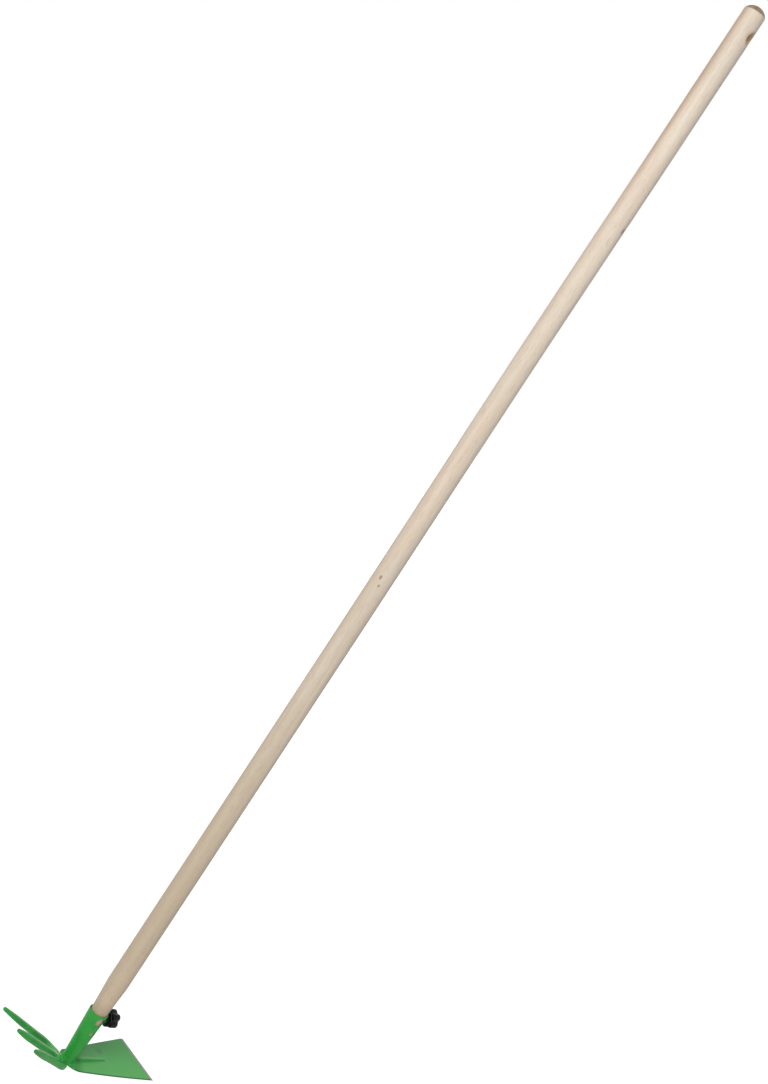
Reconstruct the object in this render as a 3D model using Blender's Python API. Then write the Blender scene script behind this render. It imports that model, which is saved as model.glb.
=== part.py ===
"""Double hoe on a long wooden handle.

A hoe blade stands on one side of the socket and a three-tined fork on the other. The screw of a star
knob clamps the handle in the socket. Metres, +Z up the handle, +Y towards the blade, +X across the tool.
The origin is the middle of the hang hole.
"""

import math

import bmesh
import bpy
from mathutils import Matrix, Vector

MM = 0.001

# Clearance between two pieces that touch.
GAP = 0.3 * MM

# Handle.
HANDLE_LENGTH = 1500 * MM
HANDLE_DIAMETER = 27.4 * MM
DOME_HEIGHT = 9.5 * MM
TAPER_LENGTH = 103.5 * MM
TAPER_END_DIAMETER = 16 * MM
TAPER_END_CHAMFER = 1.5 * MM
HANG_HOLE_DIAMETER = 11 * MM
HANG_HOLE_BELOW_DOME = 27 * MM
HANG_HOLE_RIM_DEPTH = 5 * MM
HANG_HOLE_TURN = math.radians(16)

# Socket.
INSERTION = 61.5 * MM
SOCKET_WALL = 1.2 * MM
MOUTH_CLEARANCE = 0.5 * MM
MOUTH_ROUNDING = 0.3 * MM
SOCKET_FOOT_DEPTH = 77 * MM
UPPER_HOLE_DIAMETER = 12.5 * MM
UPPER_HOLE_DEPTH = 8.8 * MM
LOWER_HOLE_DIAMETER = 8 * MM
LOWER_HOLE_DEPTH = 27.3 * MM

# Blade. Its reaches are measured from the handle's axis, along the blade.
BLADE_REACH = 122.6 * MM
BLADE_EDGE_WIDTH = 79 * MM
BLADE_SHOULDER_WIDTH = 41 * MM
BLADE_SHOULDER_REACH = 9 * MM
BLADE_SHIFT = -0.65 * MM
BLADE_TAIL = 4.5 * MM
BLADE_THICKNESS = 2 * MM
BLADE_TILT = math.radians(2.6)
BLADE_CORNER_ROUNDING = 1.2 * MM
RIB_WIDTH = 10 * MM
RIB_HEIGHT = 3.2 * MM
RIB_REACH = 65 * MM
RIB_TAPER = 0.62
RIB_FADE = 7 * MM
EDGE_GRIND = 6 * MM
EDGE_LAND = 0.5 * MM

# Fork. The root is where its middle plane passes the socket's foot.
FORK_ROOT_REACH = 10 * MM
FORK_ROOT_DEPTH = 76.1 * MM
FORK_RISE = math.radians(22.7)
MIDDLE_TINE_REACH = 105.4 * MM
SIDE_TINE_REACH = 105.2 * MM
TINE_WIDTH = 10 * MM
TINE_THICKNESS = 7.2 * MM
FAR_TINE_THICKNESS = 6.3 * MM
TINE_TIP_WIDTH = 5.5 * MM
TINE_TIP_THICKNESS = 4.1 * MM
TINE_POINT_LENGTH = 27 * MM
FAR_TINE_POINT_LENGTH = 38 * MM
NEAR_TINE_LIFT = 2.1 * MM
SHOULDER_HALF_SPAN = 24.6 * MM
SHOULDER_START = 5 * MM
SHOULDER_LENGTH = 36 * MM
TINE_SPLAY = 0.13
TINE_CURL = 1.1
HUB_DISC_DIAMETER = 25 * MM
HUB_DISC_REACH = 7 * MM
TINE_CORNER_SHARE = 0.32

# Clamp: nut, washer, screw and star knob, stacked outwards along +Y.
CLAMP_DEPTH = 10.4 * MM
SCREW_DIAMETER = 8 * MM
SCREW_PITCH = 1.25 * MM
THREAD_DEPTH = 0.7 * MM
SCREW_TIP_DIAMETER = 5.2 * MM
HEX_ACROSS_FLATS = 13 * MM
SCREW_HEAD_HEIGHT = 5.3 * MM
NUT_HEIGHT = 6.5 * MM
WASHER_DIAMETER = 18 * MM
WASHER_THICKNESS = 1.5 * MM
KNOB_DIAMETER = 24 * MM
KNOB_VALLEY_DEPTH = 2.6 * MM
KNOB_LOBES = 5
KNOB_THICKNESS = 12 * MM
KNOB_LOBE_ANGLE = math.radians(50)
KNOB_ROUNDING = 1.6 * MM
KNOB_FLOOR = 6 * MM

# Welds.
WELD_LEG = 2.8 * MM
WELD_END = 0.2
WELD_BULGE = 0.2
NUT_WELD_LEG = 2.2 * MM

# Fineness of the round shapes.
HANDLE_SIDES = 40
SOCKET_SIDES = 40
SMALL_SIDES = 24
THREAD_SIDES = 16
THREAD_ROWS_PER_TURN = 4

# Heights that follow from the sizes above.
HANDLE_RADIUS = HANDLE_DIAMETER / 2
DOME_RIM_Z = HANG_HOLE_BELOW_DOME
HANDLE_TOP_Z = DOME_RIM_Z + DOME_HEIGHT
HANDLE_END_Z = HANDLE_TOP_Z - HANDLE_LENGTH
MOUTH_Z = HANDLE_END_Z + INSERTION
FOOT_Z = MOUTH_Z - SOCKET_FOOT_DEPTH
CLAMP_Z = MOUTH_Z - CLAMP_DEPTH

WOOD = ("beech", (0.78, 0.66, 0.50), 0.55, 0.0)
GREEN_PAINT = ("green_paint", (0.05, 0.36, 0.11), 0.35, 0.0)
ZINC = ("zinc_plate", (0.62, 0.63, 0.65), 0.35, 1.0)
BLACK_STEEL = ("black_steel", (0.03, 0.03, 0.032), 0.45, 0.6)
BLACK_PLASTIC = ("black_plastic", (0.012, 0.012, 0.013), 0.42, 0.0)


def clear_scene():
    for old in list(bpy.data.objects):
        bpy.data.objects.remove(old, do_unlink=True)


def new_material(name, finish):
    kind, colour, roughness, metallic = finish
    material = bpy.data.materials.new(name + "_" + kind)
    material.use_nodes = True
    shader = material.node_tree.nodes["Principled BSDF"]
    shader.inputs["Base Color"].default_value = (*colour, 1.0)
    shader.inputs["Roughness"].default_value = roughness
    shader.inputs["Metallic"].default_value = metallic
    material.diffuse_color = (*colour, 1.0)
    return material


def object_from(name, bm, finish=None, smooth_below=40):
    """Makes an object of a bmesh. One without a finish is a cutter or a part of a union."""
    bmesh.ops.recalc_face_normals(bm, faces=bm.faces)
    mesh = bpy.data.meshes.new(name)
    bm.to_mesh(mesh)
    bm.free()
    mesh.shade_smooth()
    mesh.set_sharp_from_angle(angle=math.radians(smooth_below))
    obj = bpy.data.objects.new(name, mesh)
    bpy.context.scene.collection.objects.link(obj)
    if finish is None:
        obj.hide_render = True
        obj.display_type = "WIRE"
    else:
        mesh.materials.append(new_material(name, finish))
    return obj


def combine(obj, operand, operation):
    modifier = obj.modifiers.new(operation.lower() + "_" + operand.name, "BOOLEAN")
    modifier.operation = operation
    modifier.solver = "EXACT"
    modifier.object = operand


def round_edges(obj, width, segments=2, limit=40):
    modifier = obj.modifiers.new("rounding", "BEVEL")
    modifier.width = width
    modifier.segments = segments
    modifier.limit_method = "ANGLE"
    modifier.angle_limit = math.radians(limit)


def bridge_rings(bm, rings):
    """Skins a run of rings of points and closes both ends. A ring of one point is a tip."""
    loops = [[bm.verts.new(point) for point in ring] for ring in rings]
    for lower, upper in zip(loops, loops[1:]):
        count = max(len(lower), len(upper))
        for i in range(count):
            j = (i + 1) % count
            if len(lower) == 1:
                bm.faces.new((lower[0], upper[j], upper[i]))
            elif len(upper) == 1:
                bm.faces.new((lower[i], lower[j], upper[0]))
            else:
                bm.faces.new((lower[i], lower[j], upper[j], upper[i]))
    for end in (loops[0], loops[-1]):
        if len(end) > 2:
            bm.faces.new(end)


def circle(radius, height, sides):
    """Ring of points about Z. A radius of zero is one point."""
    if radius == 0:
        return [Vector((0, 0, height))]
    turns = [2 * math.pi * i / sides for i in range(sides)]
    return [Vector((radius * math.cos(a), radius * math.sin(a), height)) for a in turns]


def turned(name, profile, sides, finish=None):
    """Solid turned about Z from (radius, height) pairs that end on the axis or close into a ring."""
    bm = bmesh.new()
    if profile[0] != profile[-1]:
        bridge_rings(bm, [circle(radius, height, sides) for radius, height in profile])
    else:
        rings = [circle(radius, height, sides) for radius, height in profile[:-1]]
        loops = [[bm.verts.new(point) for point in ring] for ring in rings]
        for lower, upper in zip(loops, loops[1:] + loops[:1]):
            for i in range(sides):
                j = (i + 1) % sides
                bm.faces.new((lower[i], lower[j], upper[j], upper[i]))
    return object_from(name, bm, finish)


def extruded(name, outline, low, high, finish=None):
    """Prism over an outline in the XY plane."""
    bm = bmesh.new()
    bridge_rings(bm, [[Vector((x, y, height)) for x, y in outline] for height in (low, high)])
    return object_from(name, bm, finish)


def pin_profile(radius, low, high):
    return [(0, low), (radius, low), (radius, high), (0, high)]


def box(name, corner, opposite):
    (x0, y0, z0), (x1, y1, z1) = corner, opposite
    return extruded(name, [(x0, y0), (x1, y0), (x1, y1), (x0, y1)], z0, z1)


def along_y(obj, y, z):
    """Stands a piece turned about its own Z on the clamp's axis, its +Z along the tool's +Y."""
    obj.rotation_euler = (-math.pi / 2, 0, 0)
    obj.location = (0, y, z)


def handle_radius(z):
    """Radius of the handle's lower part at a height: a cone up to its full size."""
    end = TAPER_END_DIAMETER / 2
    share = (z - HANDLE_END_Z) / TAPER_LENGTH
    return min(HANDLE_RADIUS, end + (HANDLE_RADIUS - end) * share)


def socket_inside(z):
    """Radius of the socket's bore: the handle's cone, with a clearance that grows towards the mouth."""
    end = TAPER_END_DIAMETER / 2
    slope = (handle_radius(MOUTH_Z) - end + MOUTH_CLEARANCE - GAP) / INSERTION
    return end + GAP + slope * (z - HANDLE_END_Z)


def socket_outside(z):
    return socket_inside(z) + SOCKET_WALL


def blade_frame():
    """Where the blade's top surface meets the handle's axis, tilted up towards the cutting edge."""
    return Matrix.Translation((0, 0, FOOT_Z)) @ Matrix.Rotation(BLADE_TILT, 4, "X")


def fork_frame():
    """The fork's middle plane at its root. Its -Y runs out along the tines."""
    root = Matrix.Translation((0, -FORK_ROOT_REACH, MOUTH_Z - FORK_ROOT_DEPTH))
    return root @ Matrix.Rotation(-FORK_RISE, 4, "X")


def build_handle():
    top = HANDLE_TOP_Z
    sphere = (HANDLE_RADIUS**2 + DOME_HEIGHT**2) / (2 * DOME_HEIGHT)
    half_angle = math.asin(HANDLE_RADIUS / sphere)
    dome_steps = 5
    profile = [(0, HANDLE_END_Z)]
    profile += [(TAPER_END_DIAMETER / 2 - TAPER_END_CHAMFER, HANDLE_END_Z)]
    chamfer_top = HANDLE_END_Z + TAPER_END_CHAMFER
    profile += [(handle_radius(chamfer_top), chamfer_top)]
    profile += [(HANDLE_RADIUS, HANDLE_END_Z + TAPER_LENGTH)]
    for step in range(dome_steps):
        angle = half_angle * (1 - step / dome_steps)
        profile += [(sphere * math.sin(angle), top - sphere * (1 - math.cos(angle)))]
    profile += [(0, top)]
    handle = turned("handle", profile, HANDLE_SIDES, WOOD)

    hole = HANG_HOLE_DIAMETER / 2
    bottom = HANDLE_RADIUS - HANG_HOLE_RIM_DEPTH
    beyond = HANDLE_RADIUS + HANG_HOLE_RIM_DEPTH
    flare = hole + beyond - bottom
    profile = [(0, -beyond), (flare, -beyond), (hole, -bottom), (hole, bottom), (flare, beyond), (0, beyond)]
    drill = turned("hang_hole_cutter", profile, SMALL_SIDES)
    drill.rotation_euler = (0, math.pi / 2, HANG_HOLE_TURN)
    combine(handle, drill, "DIFFERENCE")


def build_socket():
    low = FOOT_Z - BLADE_SHOULDER_WIDTH
    inner, outer = socket_inside(MOUTH_Z), socket_outside(MOUTH_Z)
    profile = [
        (socket_inside(low), low),
        (socket_outside(low), low),
        (socket_outside(MOUTH_Z - MOUTH_ROUNDING), MOUTH_Z - MOUTH_ROUNDING),
        (outer - MOUTH_ROUNDING, MOUTH_Z),
        (inner + MOUTH_ROUNDING, MOUTH_Z),
        (socket_inside(MOUTH_Z - MOUTH_ROUNDING), MOUTH_Z - MOUTH_ROUNDING),
        (socket_inside(low), low),
    ]
    socket = turned("socket", profile, SOCKET_SIDES, GREEN_PAINT)

    # The foot is cut square to the blade that it stands on.
    reach = BLADE_SHOULDER_WIDTH
    foot_cutter = box("foot_cutter", (-reach, -reach, -3 * reach), (reach, reach, GAP))
    foot_cutter.matrix_world = blade_frame()
    combine(socket, foot_cutter, "DIFFERENCE")

    for name, diameter, depth in (
        ("upper_hole_cutter", UPPER_HOLE_DIAMETER, UPPER_HOLE_DEPTH),
        ("lower_hole_cutter", LOWER_HOLE_DIAMETER, LOWER_HOLE_DEPTH),
    ):
        drill = turned(name, pin_profile(diameter / 2, 0, 2 * outer), SMALL_SIDES)
        drill.rotation_euler = (0, math.pi / 2, 0)
        drill.location = (0, 0, MOUTH_Z - depth)
        combine(socket, drill, "DIFFERENCE")

    passage = SCREW_DIAMETER / 2 + GAP
    drill = turned("clamp_hole_cutter", pin_profile(passage, 0, 2 * outer), SMALL_SIDES)
    along_y(drill, 0, CLAMP_Z)
    combine(socket, drill, "DIFFERENCE")


def blade_outline():
    """Straight cutting edge and sides, and a rounded tail under the socket's foot. It stands off centre."""
    half = BLADE_SHOULDER_WIDTH / 2
    rise = BLADE_SHOULDER_REACH + BLADE_TAIL
    radius = (half**2 + rise**2) / (2 * rise)
    centre = radius - BLADE_TAIL
    sweep = math.asin(half / radius)
    steps = 12
    edge = BLADE_EDGE_WIDTH / 2
    outline = [(edge + BLADE_SHIFT, BLADE_REACH), (-edge + BLADE_SHIFT, BLADE_REACH)]
    for i in range(steps + 1):
        angle = sweep * (2 * i / steps - 1)
        outline.append((radius * math.sin(angle) + BLADE_SHIFT, centre - radius * math.cos(angle)))
    return outline


def rib_solid(name, width, height, start, reach, sunk):
    """Half-round bar along the blade that narrows and then ends. It starts a little below the surface."""
    steps = 10
    bm = bmesh.new()
    rings = []
    fade = reach - RIB_FADE
    for y, share in ((start, 1.0), (fade, RIB_TAPER), (fade + RIB_FADE / 2, 0.7 * RIB_TAPER), (reach, 0.12)):
        arc = [math.pi * i / steps for i in range(steps + 1)]
        ring = [Vector((width / 2 * share * math.cos(a), y, height * share * math.sin(a))) for a in arc]
        ring += [Vector((-width / 2 * share, y, -sunk)), Vector((width / 2 * share, y, -sunk))]
        rings.append(ring)
    bridge_rings(bm, rings)
    return object_from(name, bm)


def rib_start():
    """The rib begins just clear of the weld round the socket's foot."""
    return socket_outside(FOOT_Z) + WELD_LEG + 3 * GAP


def build_blade():
    blade = extruded("blade", blade_outline(), -BLADE_THICKNESS, 0, GREEN_PAINT)
    blade.matrix_world = blade_frame()

    start = rib_start()
    rib = rib_solid("rib", RIB_WIDTH, RIB_HEIGHT, start, RIB_REACH, BLADE_THICKNESS / 2)
    wall = BLADE_THICKNESS
    groove_start = start + wall
    groove_width = RIB_WIDTH - wall
    groove = rib_solid("rib_groove_cutter", groove_width, RIB_HEIGHT, groove_start, RIB_REACH - wall, wall)
    for obj, height in ((rib, 0), (groove, -BLADE_THICKNESS)):
        obj.matrix_world = blade_frame() @ Matrix.Translation((0, 0, height))
    combine(blade, rib, "UNION")
    combine(blade, groove, "DIFFERENCE")

    # The cutting edge is ground on top, down to a narrow land.
    slope = math.atan((BLADE_THICKNESS - EDGE_LAND) / EDGE_GRIND)
    reach = BLADE_EDGE_WIDTH
    wheel = box("grind_cutter", (-reach, 0, 0), (reach, 2 * EDGE_GRIND, BLADE_THICKNESS))
    place = Matrix.Translation((0, BLADE_REACH - EDGE_GRIND, 0)) @ Matrix.Rotation(-slope, 4, "X")
    wheel.matrix_world = blade_frame() @ place
    combine(blade, wheel, "DIFFERENCE")
    round_edges(blade, BLADE_CORNER_ROUNDING / 4, 1, 60)


def bar_ring(centre, ahead, width, thickness):
    """Rounded rectangle across a bar in the fork's plane."""
    across = Vector((ahead.y, -ahead.x, 0)).normalized()
    up = Vector((0, 0, 1))
    corner = TINE_CORNER_SHARE * thickness
    ring = []
    for quarter in range(4):
        sign_a = 1 if quarter in (0, 3) else -1
        sign_u = 1 if quarter in (0, 1) else -1
        middle_a = sign_a * (width / 2 - corner)
        middle_u = sign_u * (thickness / 2 - corner)
        for step in range(3):
            angle = math.pi / 2 * (quarter + step / 2)
            a = middle_a + corner * math.cos(angle)
            u = middle_u + corner * math.sin(angle)
            ring.append(centre + across * a + up * u)
    return ring


def fork_bar(name, path, full_thickness, point_length, finish=None):
    """Bar along a path in the fork's plane, with a blunt point over its last stretch."""
    tip = path[-1]
    rings = []
    for i, point in enumerate(path):
        before, after = path[max(i - 1, 0)], path[min(i + 1, len(path) - 1)]
        left = min((tip - point).length / point_length, 1.0)
        share = math.sin(math.pi / 2 * left)
        width = TINE_TIP_WIDTH + (TINE_WIDTH - TINE_TIP_WIDTH) * share
        thickness = TINE_TIP_THICKNESS + (full_thickness - TINE_TIP_THICKNESS) * share
        rings.append(bar_ring(point, after - before, width, thickness))
    nose = tip + (path[-1] - path[-2]).normalized() * TINE_TIP_WIDTH / 4
    rings.append(bar_ring(nose, path[-1] - path[-2], TINE_TIP_WIDTH / 2, TINE_TIP_THICKNESS / 2))
    bm = bmesh.new()
    bridge_rings(bm, rings)
    return object_from(name, bm, finish)


def side_path(side, lift):
    """Middle line of an outer tine: a quarter of an ellipse round the shoulder, then a splayed run."""
    length = SIDE_TINE_REACH - TINE_TIP_WIDTH / 4
    bend = SHOULDER_LENGTH - SHOULDER_START
    path = []
    bends, runs = 7, 7
    for i in range(bends):
        angle = math.pi / 2 * i / bends
        x = SHOULDER_HALF_SPAN * math.sin(angle)
        y = SHOULDER_START + bend * (1 - math.cos(angle))
        path.append(Vector((side * x, -y, 0)))
    for i in range(runs + 1):
        out = (length - SHOULDER_LENGTH) * i / runs
        x = SHOULDER_HALF_SPAN + TINE_SPLAY * out + TINE_CURL * out**2
        path.append(Vector((side * x, -(SHOULDER_LENGTH + out), lift * i / runs)))
    return path


def build_fork():
    length = MIDDLE_TINE_REACH - TINE_TIP_WIDTH / 4
    steps = 10
    run = FORK_ROOT_REACH + length
    straight = [Vector((0, FORK_ROOT_REACH - run * i / steps, 0)) for i in range(steps + 1)]
    fork = fork_bar("fork", straight, TINE_THICKNESS, TINE_POINT_LENGTH, GREEN_PAINT)
    pieces = [fork]
    for name, side, thickness, point, lift in (
        ("left_tine", -1, FAR_TINE_THICKNESS, FAR_TINE_POINT_LENGTH, 0),
        ("right_tine", 1, TINE_THICKNESS, TINE_POINT_LENGTH, NEAR_TINE_LIFT),
    ):
        tine = fork_bar(name, side_path(side, lift), thickness, point)
        pieces.append(tine)
        combine(fork, tine, "UNION")
    disc = HUB_DISC_DIAMETER / 2
    half = TINE_THICKNESS / 2
    edge = half - TINE_CORNER_SHARE * TINE_THICKNESS / 2
    rim = disc - half + edge
    profile = [(0, -half), (rim, -half), (disc, -edge), (disc, edge), (rim, half), (0, half)]
    hub = turned("hub_disc", profile, SMALL_SIDES)
    combine(fork, hub, "UNION")
    for piece in pieces:
        piece.matrix_world = fork_frame()
    hub.matrix_world = fork_frame() @ Matrix.Translation((0, -HUB_DISC_REACH, 0))

    low, high = FOOT_Z - BLADE_SHOULDER_WIDTH, FOOT_Z + BLADE_SHOULDER_WIDTH
    profile = [(0, low), (socket_outside(FOOT_Z) + GAP, low), (socket_outside(FOOT_Z) + GAP, FOOT_Z)]
    profile += [(socket_outside(high) + GAP, high), (0, high)]
    saddle = turned("saddle_cutter", profile, SOCKET_SIDES)
    combine(fork, saddle, "DIFFERENCE")


def fillet_bead(name, frame, surface, start, end):
    """Weld bead in the corner between the socket's foot and a plate with its surface at a frame's height."""
    steps = 18
    rings = []
    for i in range(steps + 1):
        turn = start + (end - start) * i / steps
        leg = WELD_LEG * max(WELD_END, math.sin(math.pi * i / steps) ** 0.4)
        out = Vector((math.cos(turn), math.sin(turn), 0))
        up = frame.to_3x3() @ Vector((0, 0, 1))
        place = frame @ Vector((0, 0, surface + GAP))

        def plate_z(radius):
            flat = out * radius
            return place.z - (up.x * (flat.x - place.x) + up.y * (flat.y - place.y)) / up.z

        foot = socket_outside(plate_z(socket_outside(FOOT_Z))) + GAP
        top = plate_z(foot) + leg
        wall = socket_outside(top) + GAP
        inner = out * foot + Vector((0, 0, plate_z(foot)))
        outer = out * (foot + leg) + Vector((0, 0, plate_z(foot + leg)))
        upper = out * wall + Vector((0, 0, top))
        swell = (out + Vector((0, 0, 1))).normalized() * leg * WELD_BULGE
        rings.append([inner, outer, outer.lerp(upper, 0.3) + swell, outer.lerp(upper, 0.7) + swell, upper])
    bm = bmesh.new()
    bridge_rings(bm, rings)
    return object_from(name, bm, GREEN_PAINT)


def build_welds():
    blade_arc = math.radians(195)
    fillet_bead("blade_weld", blade_frame(), 0, math.pi - blade_arc, blade_arc)
    fork_arc = math.radians(46)
    down = 1.5 * math.pi
    fillet_bead("fork_weld", fork_frame(), TINE_THICKNESS / 2, down - fork_arc, down + fork_arc)


def hexagon(across_flats):
    corner = across_flats / math.sqrt(3)
    return [(corner * math.cos(math.pi / 3 * i), corner * math.sin(math.pi / 3 * i)) for i in range(6)]


def nut_seat():
    """Where the nut's face stands: clear of the socket's widest point beside it."""
    corner = HEX_ACROSS_FLATS / math.sqrt(3)
    return socket_outside(CLAMP_Z + corner) + GAP


def build_nut():
    nut = extruded("clamp_nut", hexagon(HEX_ACROSS_FLATS), 0, NUT_HEIGHT, GREEN_PAINT)
    along_y(nut, nut_seat(), CLAMP_Z)
    passage = SCREW_DIAMETER / 2 + GAP
    lead_in = THREAD_DEPTH
    profile = [(0, -NUT_HEIGHT), (passage, -NUT_HEIGHT), (passage, NUT_HEIGHT - lead_in)]
    profile += [(passage + 2 * lead_in, NUT_HEIGHT + lead_in), (0, NUT_HEIGHT + lead_in)]
    drill = turned("nut_bore_cutter", profile, SMALL_SIDES)
    along_y(drill, nut_seat(), CLAMP_Z)
    combine(nut, drill, "DIFFERENCE")

    # The bead is a low cone round the nut, cut to the tapered wall and to the nut's flats.
    corner = HEX_ACROSS_FLATS / math.sqrt(3) + GAP
    base = corner + NUT_WELD_LEG
    depth = nut_seat() - socket_inside(CLAMP_Z)
    profile = [(0, -depth), (base, -depth), (base, 0), (corner, NUT_WELD_LEG), (0, NUT_WELD_LEG)]
    bead = turned("nut_weld", profile, SMALL_SIDES, GREEN_PAINT)
    along_y(bead, nut_seat(), CLAMP_Z)
    low, high = CLAMP_Z - 2 * base, CLAMP_Z + 2 * base
    profile = [(0, low), (socket_outside(low) + GAP, low), (socket_outside(high) + GAP, high), (0, high)]
    wall = turned("wall_cutter", profile, 2 * SOCKET_SIDES)
    combine(bead, wall, "DIFFERENCE")
    pocket = extruded("nut_pocket_cutter", hexagon(HEX_ACROSS_FLATS + 2 * GAP), -2 * depth, 2 * NUT_HEIGHT)
    along_y(pocket, nut_seat(), CLAMP_Z)
    combine(bead, pocket, "DIFFERENCE")


def washer_seat():
    return nut_seat() + NUT_HEIGHT + GAP


def knob_seat():
    return washer_seat() + WASHER_THICKNESS + GAP


def build_washer():
    hole = SCREW_DIAMETER / 2 + GAP
    outer = WASHER_DIAMETER / 2
    top = WASHER_THICKNESS
    profile = [(hole, 0), (outer, 0), (outer, top), (hole, top), (hole, 0)]
    washer = turned("clamp_washer", profile, SMALL_SIDES, BLACK_STEEL)
    along_y(washer, washer_seat(), CLAMP_Z)


def screw_length():
    """From the head's underside to the tip, which stops just clear of the handle's tapered end."""
    tip = handle_radius(CLAMP_Z + SCREW_TIP_DIAMETER / 2) + GAP
    return knob_seat() + KNOB_FLOOR - tip


def thread_radius(turn, height, length):
    """Radius of a right-hand thread, with a chamfer at the tip and a plain stretch under the head."""
    crest = SCREW_DIAMETER / 2
    phase = (height / SCREW_PITCH - turn / (2 * math.pi)) % 1.0
    groove = THREAD_DEPTH * (1 - abs(2 * phase - 1))
    chamfer = max(0.0, SCREW_TIP_DIAMETER / 2 + height)
    return min(crest - groove, chamfer) if height < length - KNOB_FLOOR else crest - GAP


def build_screw():
    """Hexagon-head screw. Its tip is at height 0 in its own frame and its head on top."""
    length = screw_length()
    rows = math.ceil(length / SCREW_PITCH * THREAD_ROWS_PER_TURN)
    rings = []
    for row in range(rows + 1):
        height = length * row / rows
        turns = [2 * math.pi * i / THREAD_SIDES for i in range(THREAD_SIDES)]
        ring = []
        for turn in turns:
            radius = thread_radius(turn, height, length)
            ring.append(Vector((radius * math.cos(turn), radius * math.sin(turn), height)))
        rings.append(ring)
    rings.append(circle(SCREW_DIAMETER / 2 - GAP, length + SCREW_HEAD_HEIGHT / 2, THREAD_SIDES))
    bm = bmesh.new()
    bridge_rings(bm, rings)
    screw = object_from("clamp_screw", bm, ZINC)
    along_y(screw, knob_seat() + KNOB_FLOOR - length, CLAMP_Z)
    head = extruded("screw_head", hexagon(HEX_ACROSS_FLATS), GAP, SCREW_HEAD_HEIGHT)
    along_y(head, knob_seat() + KNOB_FLOOR, CLAMP_Z)
    combine(screw, head, "UNION")


def knob_outline():
    """Rounded star: the radius swings once between lobe and valley for each lobe."""
    outline = []
    points = KNOB_LOBES * 12
    for i in range(points):
        turn = 2 * math.pi * i / points
        swing = (1 - math.cos(KNOB_LOBES * (turn - KNOB_LOBE_ANGLE))) / 2
        radius = KNOB_DIAMETER / 2 - KNOB_VALLEY_DEPTH * swing**1.4
        outline.append((radius * math.cos(turn), -radius * math.sin(turn)))
    return outline


def build_knob():
    knob = extruded("star_knob", knob_outline(), 0, KNOB_THICKNESS, BLACK_PLASTIC)
    along_y(knob, knob_seat(), CLAMP_Z)
    round_edges(knob, KNOB_ROUNDING, 3)
    bore = SCREW_DIAMETER / 2 + GAP
    drill = turned("knob_bore_cutter", pin_profile(bore, -KNOB_THICKNESS, 2 * KNOB_THICKNESS), SMALL_SIDES)
    recess = hexagon(HEX_ACROSS_FLATS + 2 * GAP)
    pocket = extruded("knob_pocket_cutter", recess, KNOB_FLOOR, 2 * KNOB_THICKNESS)
    for cutter in (drill, pocket):
        along_y(cutter, knob_seat(), CLAMP_Z)
        combine(knob, cutter, "DIFFERENCE")


def main():
    clear_scene()
    build_handle()
    build_socket()
    build_blade()
    build_fork()
    build_welds()
    build_nut()
    build_washer()
    build_screw()
    build_knob()


main()
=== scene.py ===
import math

import bmesh
import bpy
from mathutils import Matrix, Vector, noise


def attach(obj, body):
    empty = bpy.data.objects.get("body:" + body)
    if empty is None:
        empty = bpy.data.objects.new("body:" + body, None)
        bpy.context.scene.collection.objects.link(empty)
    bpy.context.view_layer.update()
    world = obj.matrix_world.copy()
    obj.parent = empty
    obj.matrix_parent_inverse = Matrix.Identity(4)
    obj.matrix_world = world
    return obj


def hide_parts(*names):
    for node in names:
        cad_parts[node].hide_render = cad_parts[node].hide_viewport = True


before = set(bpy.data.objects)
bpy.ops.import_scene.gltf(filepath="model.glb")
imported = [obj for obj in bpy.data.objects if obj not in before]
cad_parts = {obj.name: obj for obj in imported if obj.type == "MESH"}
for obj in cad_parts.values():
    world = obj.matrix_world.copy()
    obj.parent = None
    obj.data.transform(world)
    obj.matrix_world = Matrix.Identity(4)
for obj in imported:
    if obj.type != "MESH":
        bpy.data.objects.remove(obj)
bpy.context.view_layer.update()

MM = 0.001

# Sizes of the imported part, in metres, in its own frame: +Z up the handle, +Y towards the blade.
HANDLE_RADIUS = 13.7 * MM
HANDLE_TOP = 36.5 * MM
HANDLE_END = -1463.5 * MM
DOME_HEIGHT = 9.5 * MM
TAPER_LENGTH = 103.5 * MM
TAPER_END_RADIUS = 8 * MM
HOLE_RADIUS = 5.8 * MM
HOLE_RIM_DEPTH = 5 * MM
HOLE_TURN = math.radians(16)

MOUTH = -1402 * MM
FOOT = -1479 * MM
SOCKET_WALL = 1.2 * MM
MOUTH_CLEARANCE = 0.5 * MM
GAP = 0.3 * MM
SIDE_HOLES = (("upper_hole_cutter", 6.25 * MM, 8.8 * MM), ("lower_hole_cutter", 3.8 * MM, 27.8 * MM))

BLADE_REACH = 122.6 * MM
BLADE_EDGE_WIDTH = 79 * MM
BLADE_SHOULDER_WIDTH = 41 * MM
BLADE_SHOULDER_REACH = 9 * MM
BLADE_SHIFT = -0.65 * MM
BLADE_TAIL = 4.5 * MM
BLADE_THICKNESS = 2 * MM
BLADE_TILT = math.radians(2.4)
RIB_REACH = 66 * MM
EDGE_GRIND = 6 * MM
EDGE_LAND = 0.5 * MM

FORK_ROOT_REACH = 10 * MM
FORK_ROOT = -1478.1 * MM
FORK_RISE = math.radians(22.7)
TINE_WIDTH = 10 * MM
TINE_THICKNESS = 7.2 * MM
TINE_TIP_WIDTH = 5.5 * MM
TINE_TIP_THICKNESS = 4.1 * MM
SHOULDER_HALF_SPAN = 24.6 * MM
SHOULDER_START = 5 * MM
SHOULDER_LENGTH = 36 * MM
HUB_DISC_RADIUS = 12.5 * MM
HUB_DISC_REACH = 7 * MM

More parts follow.
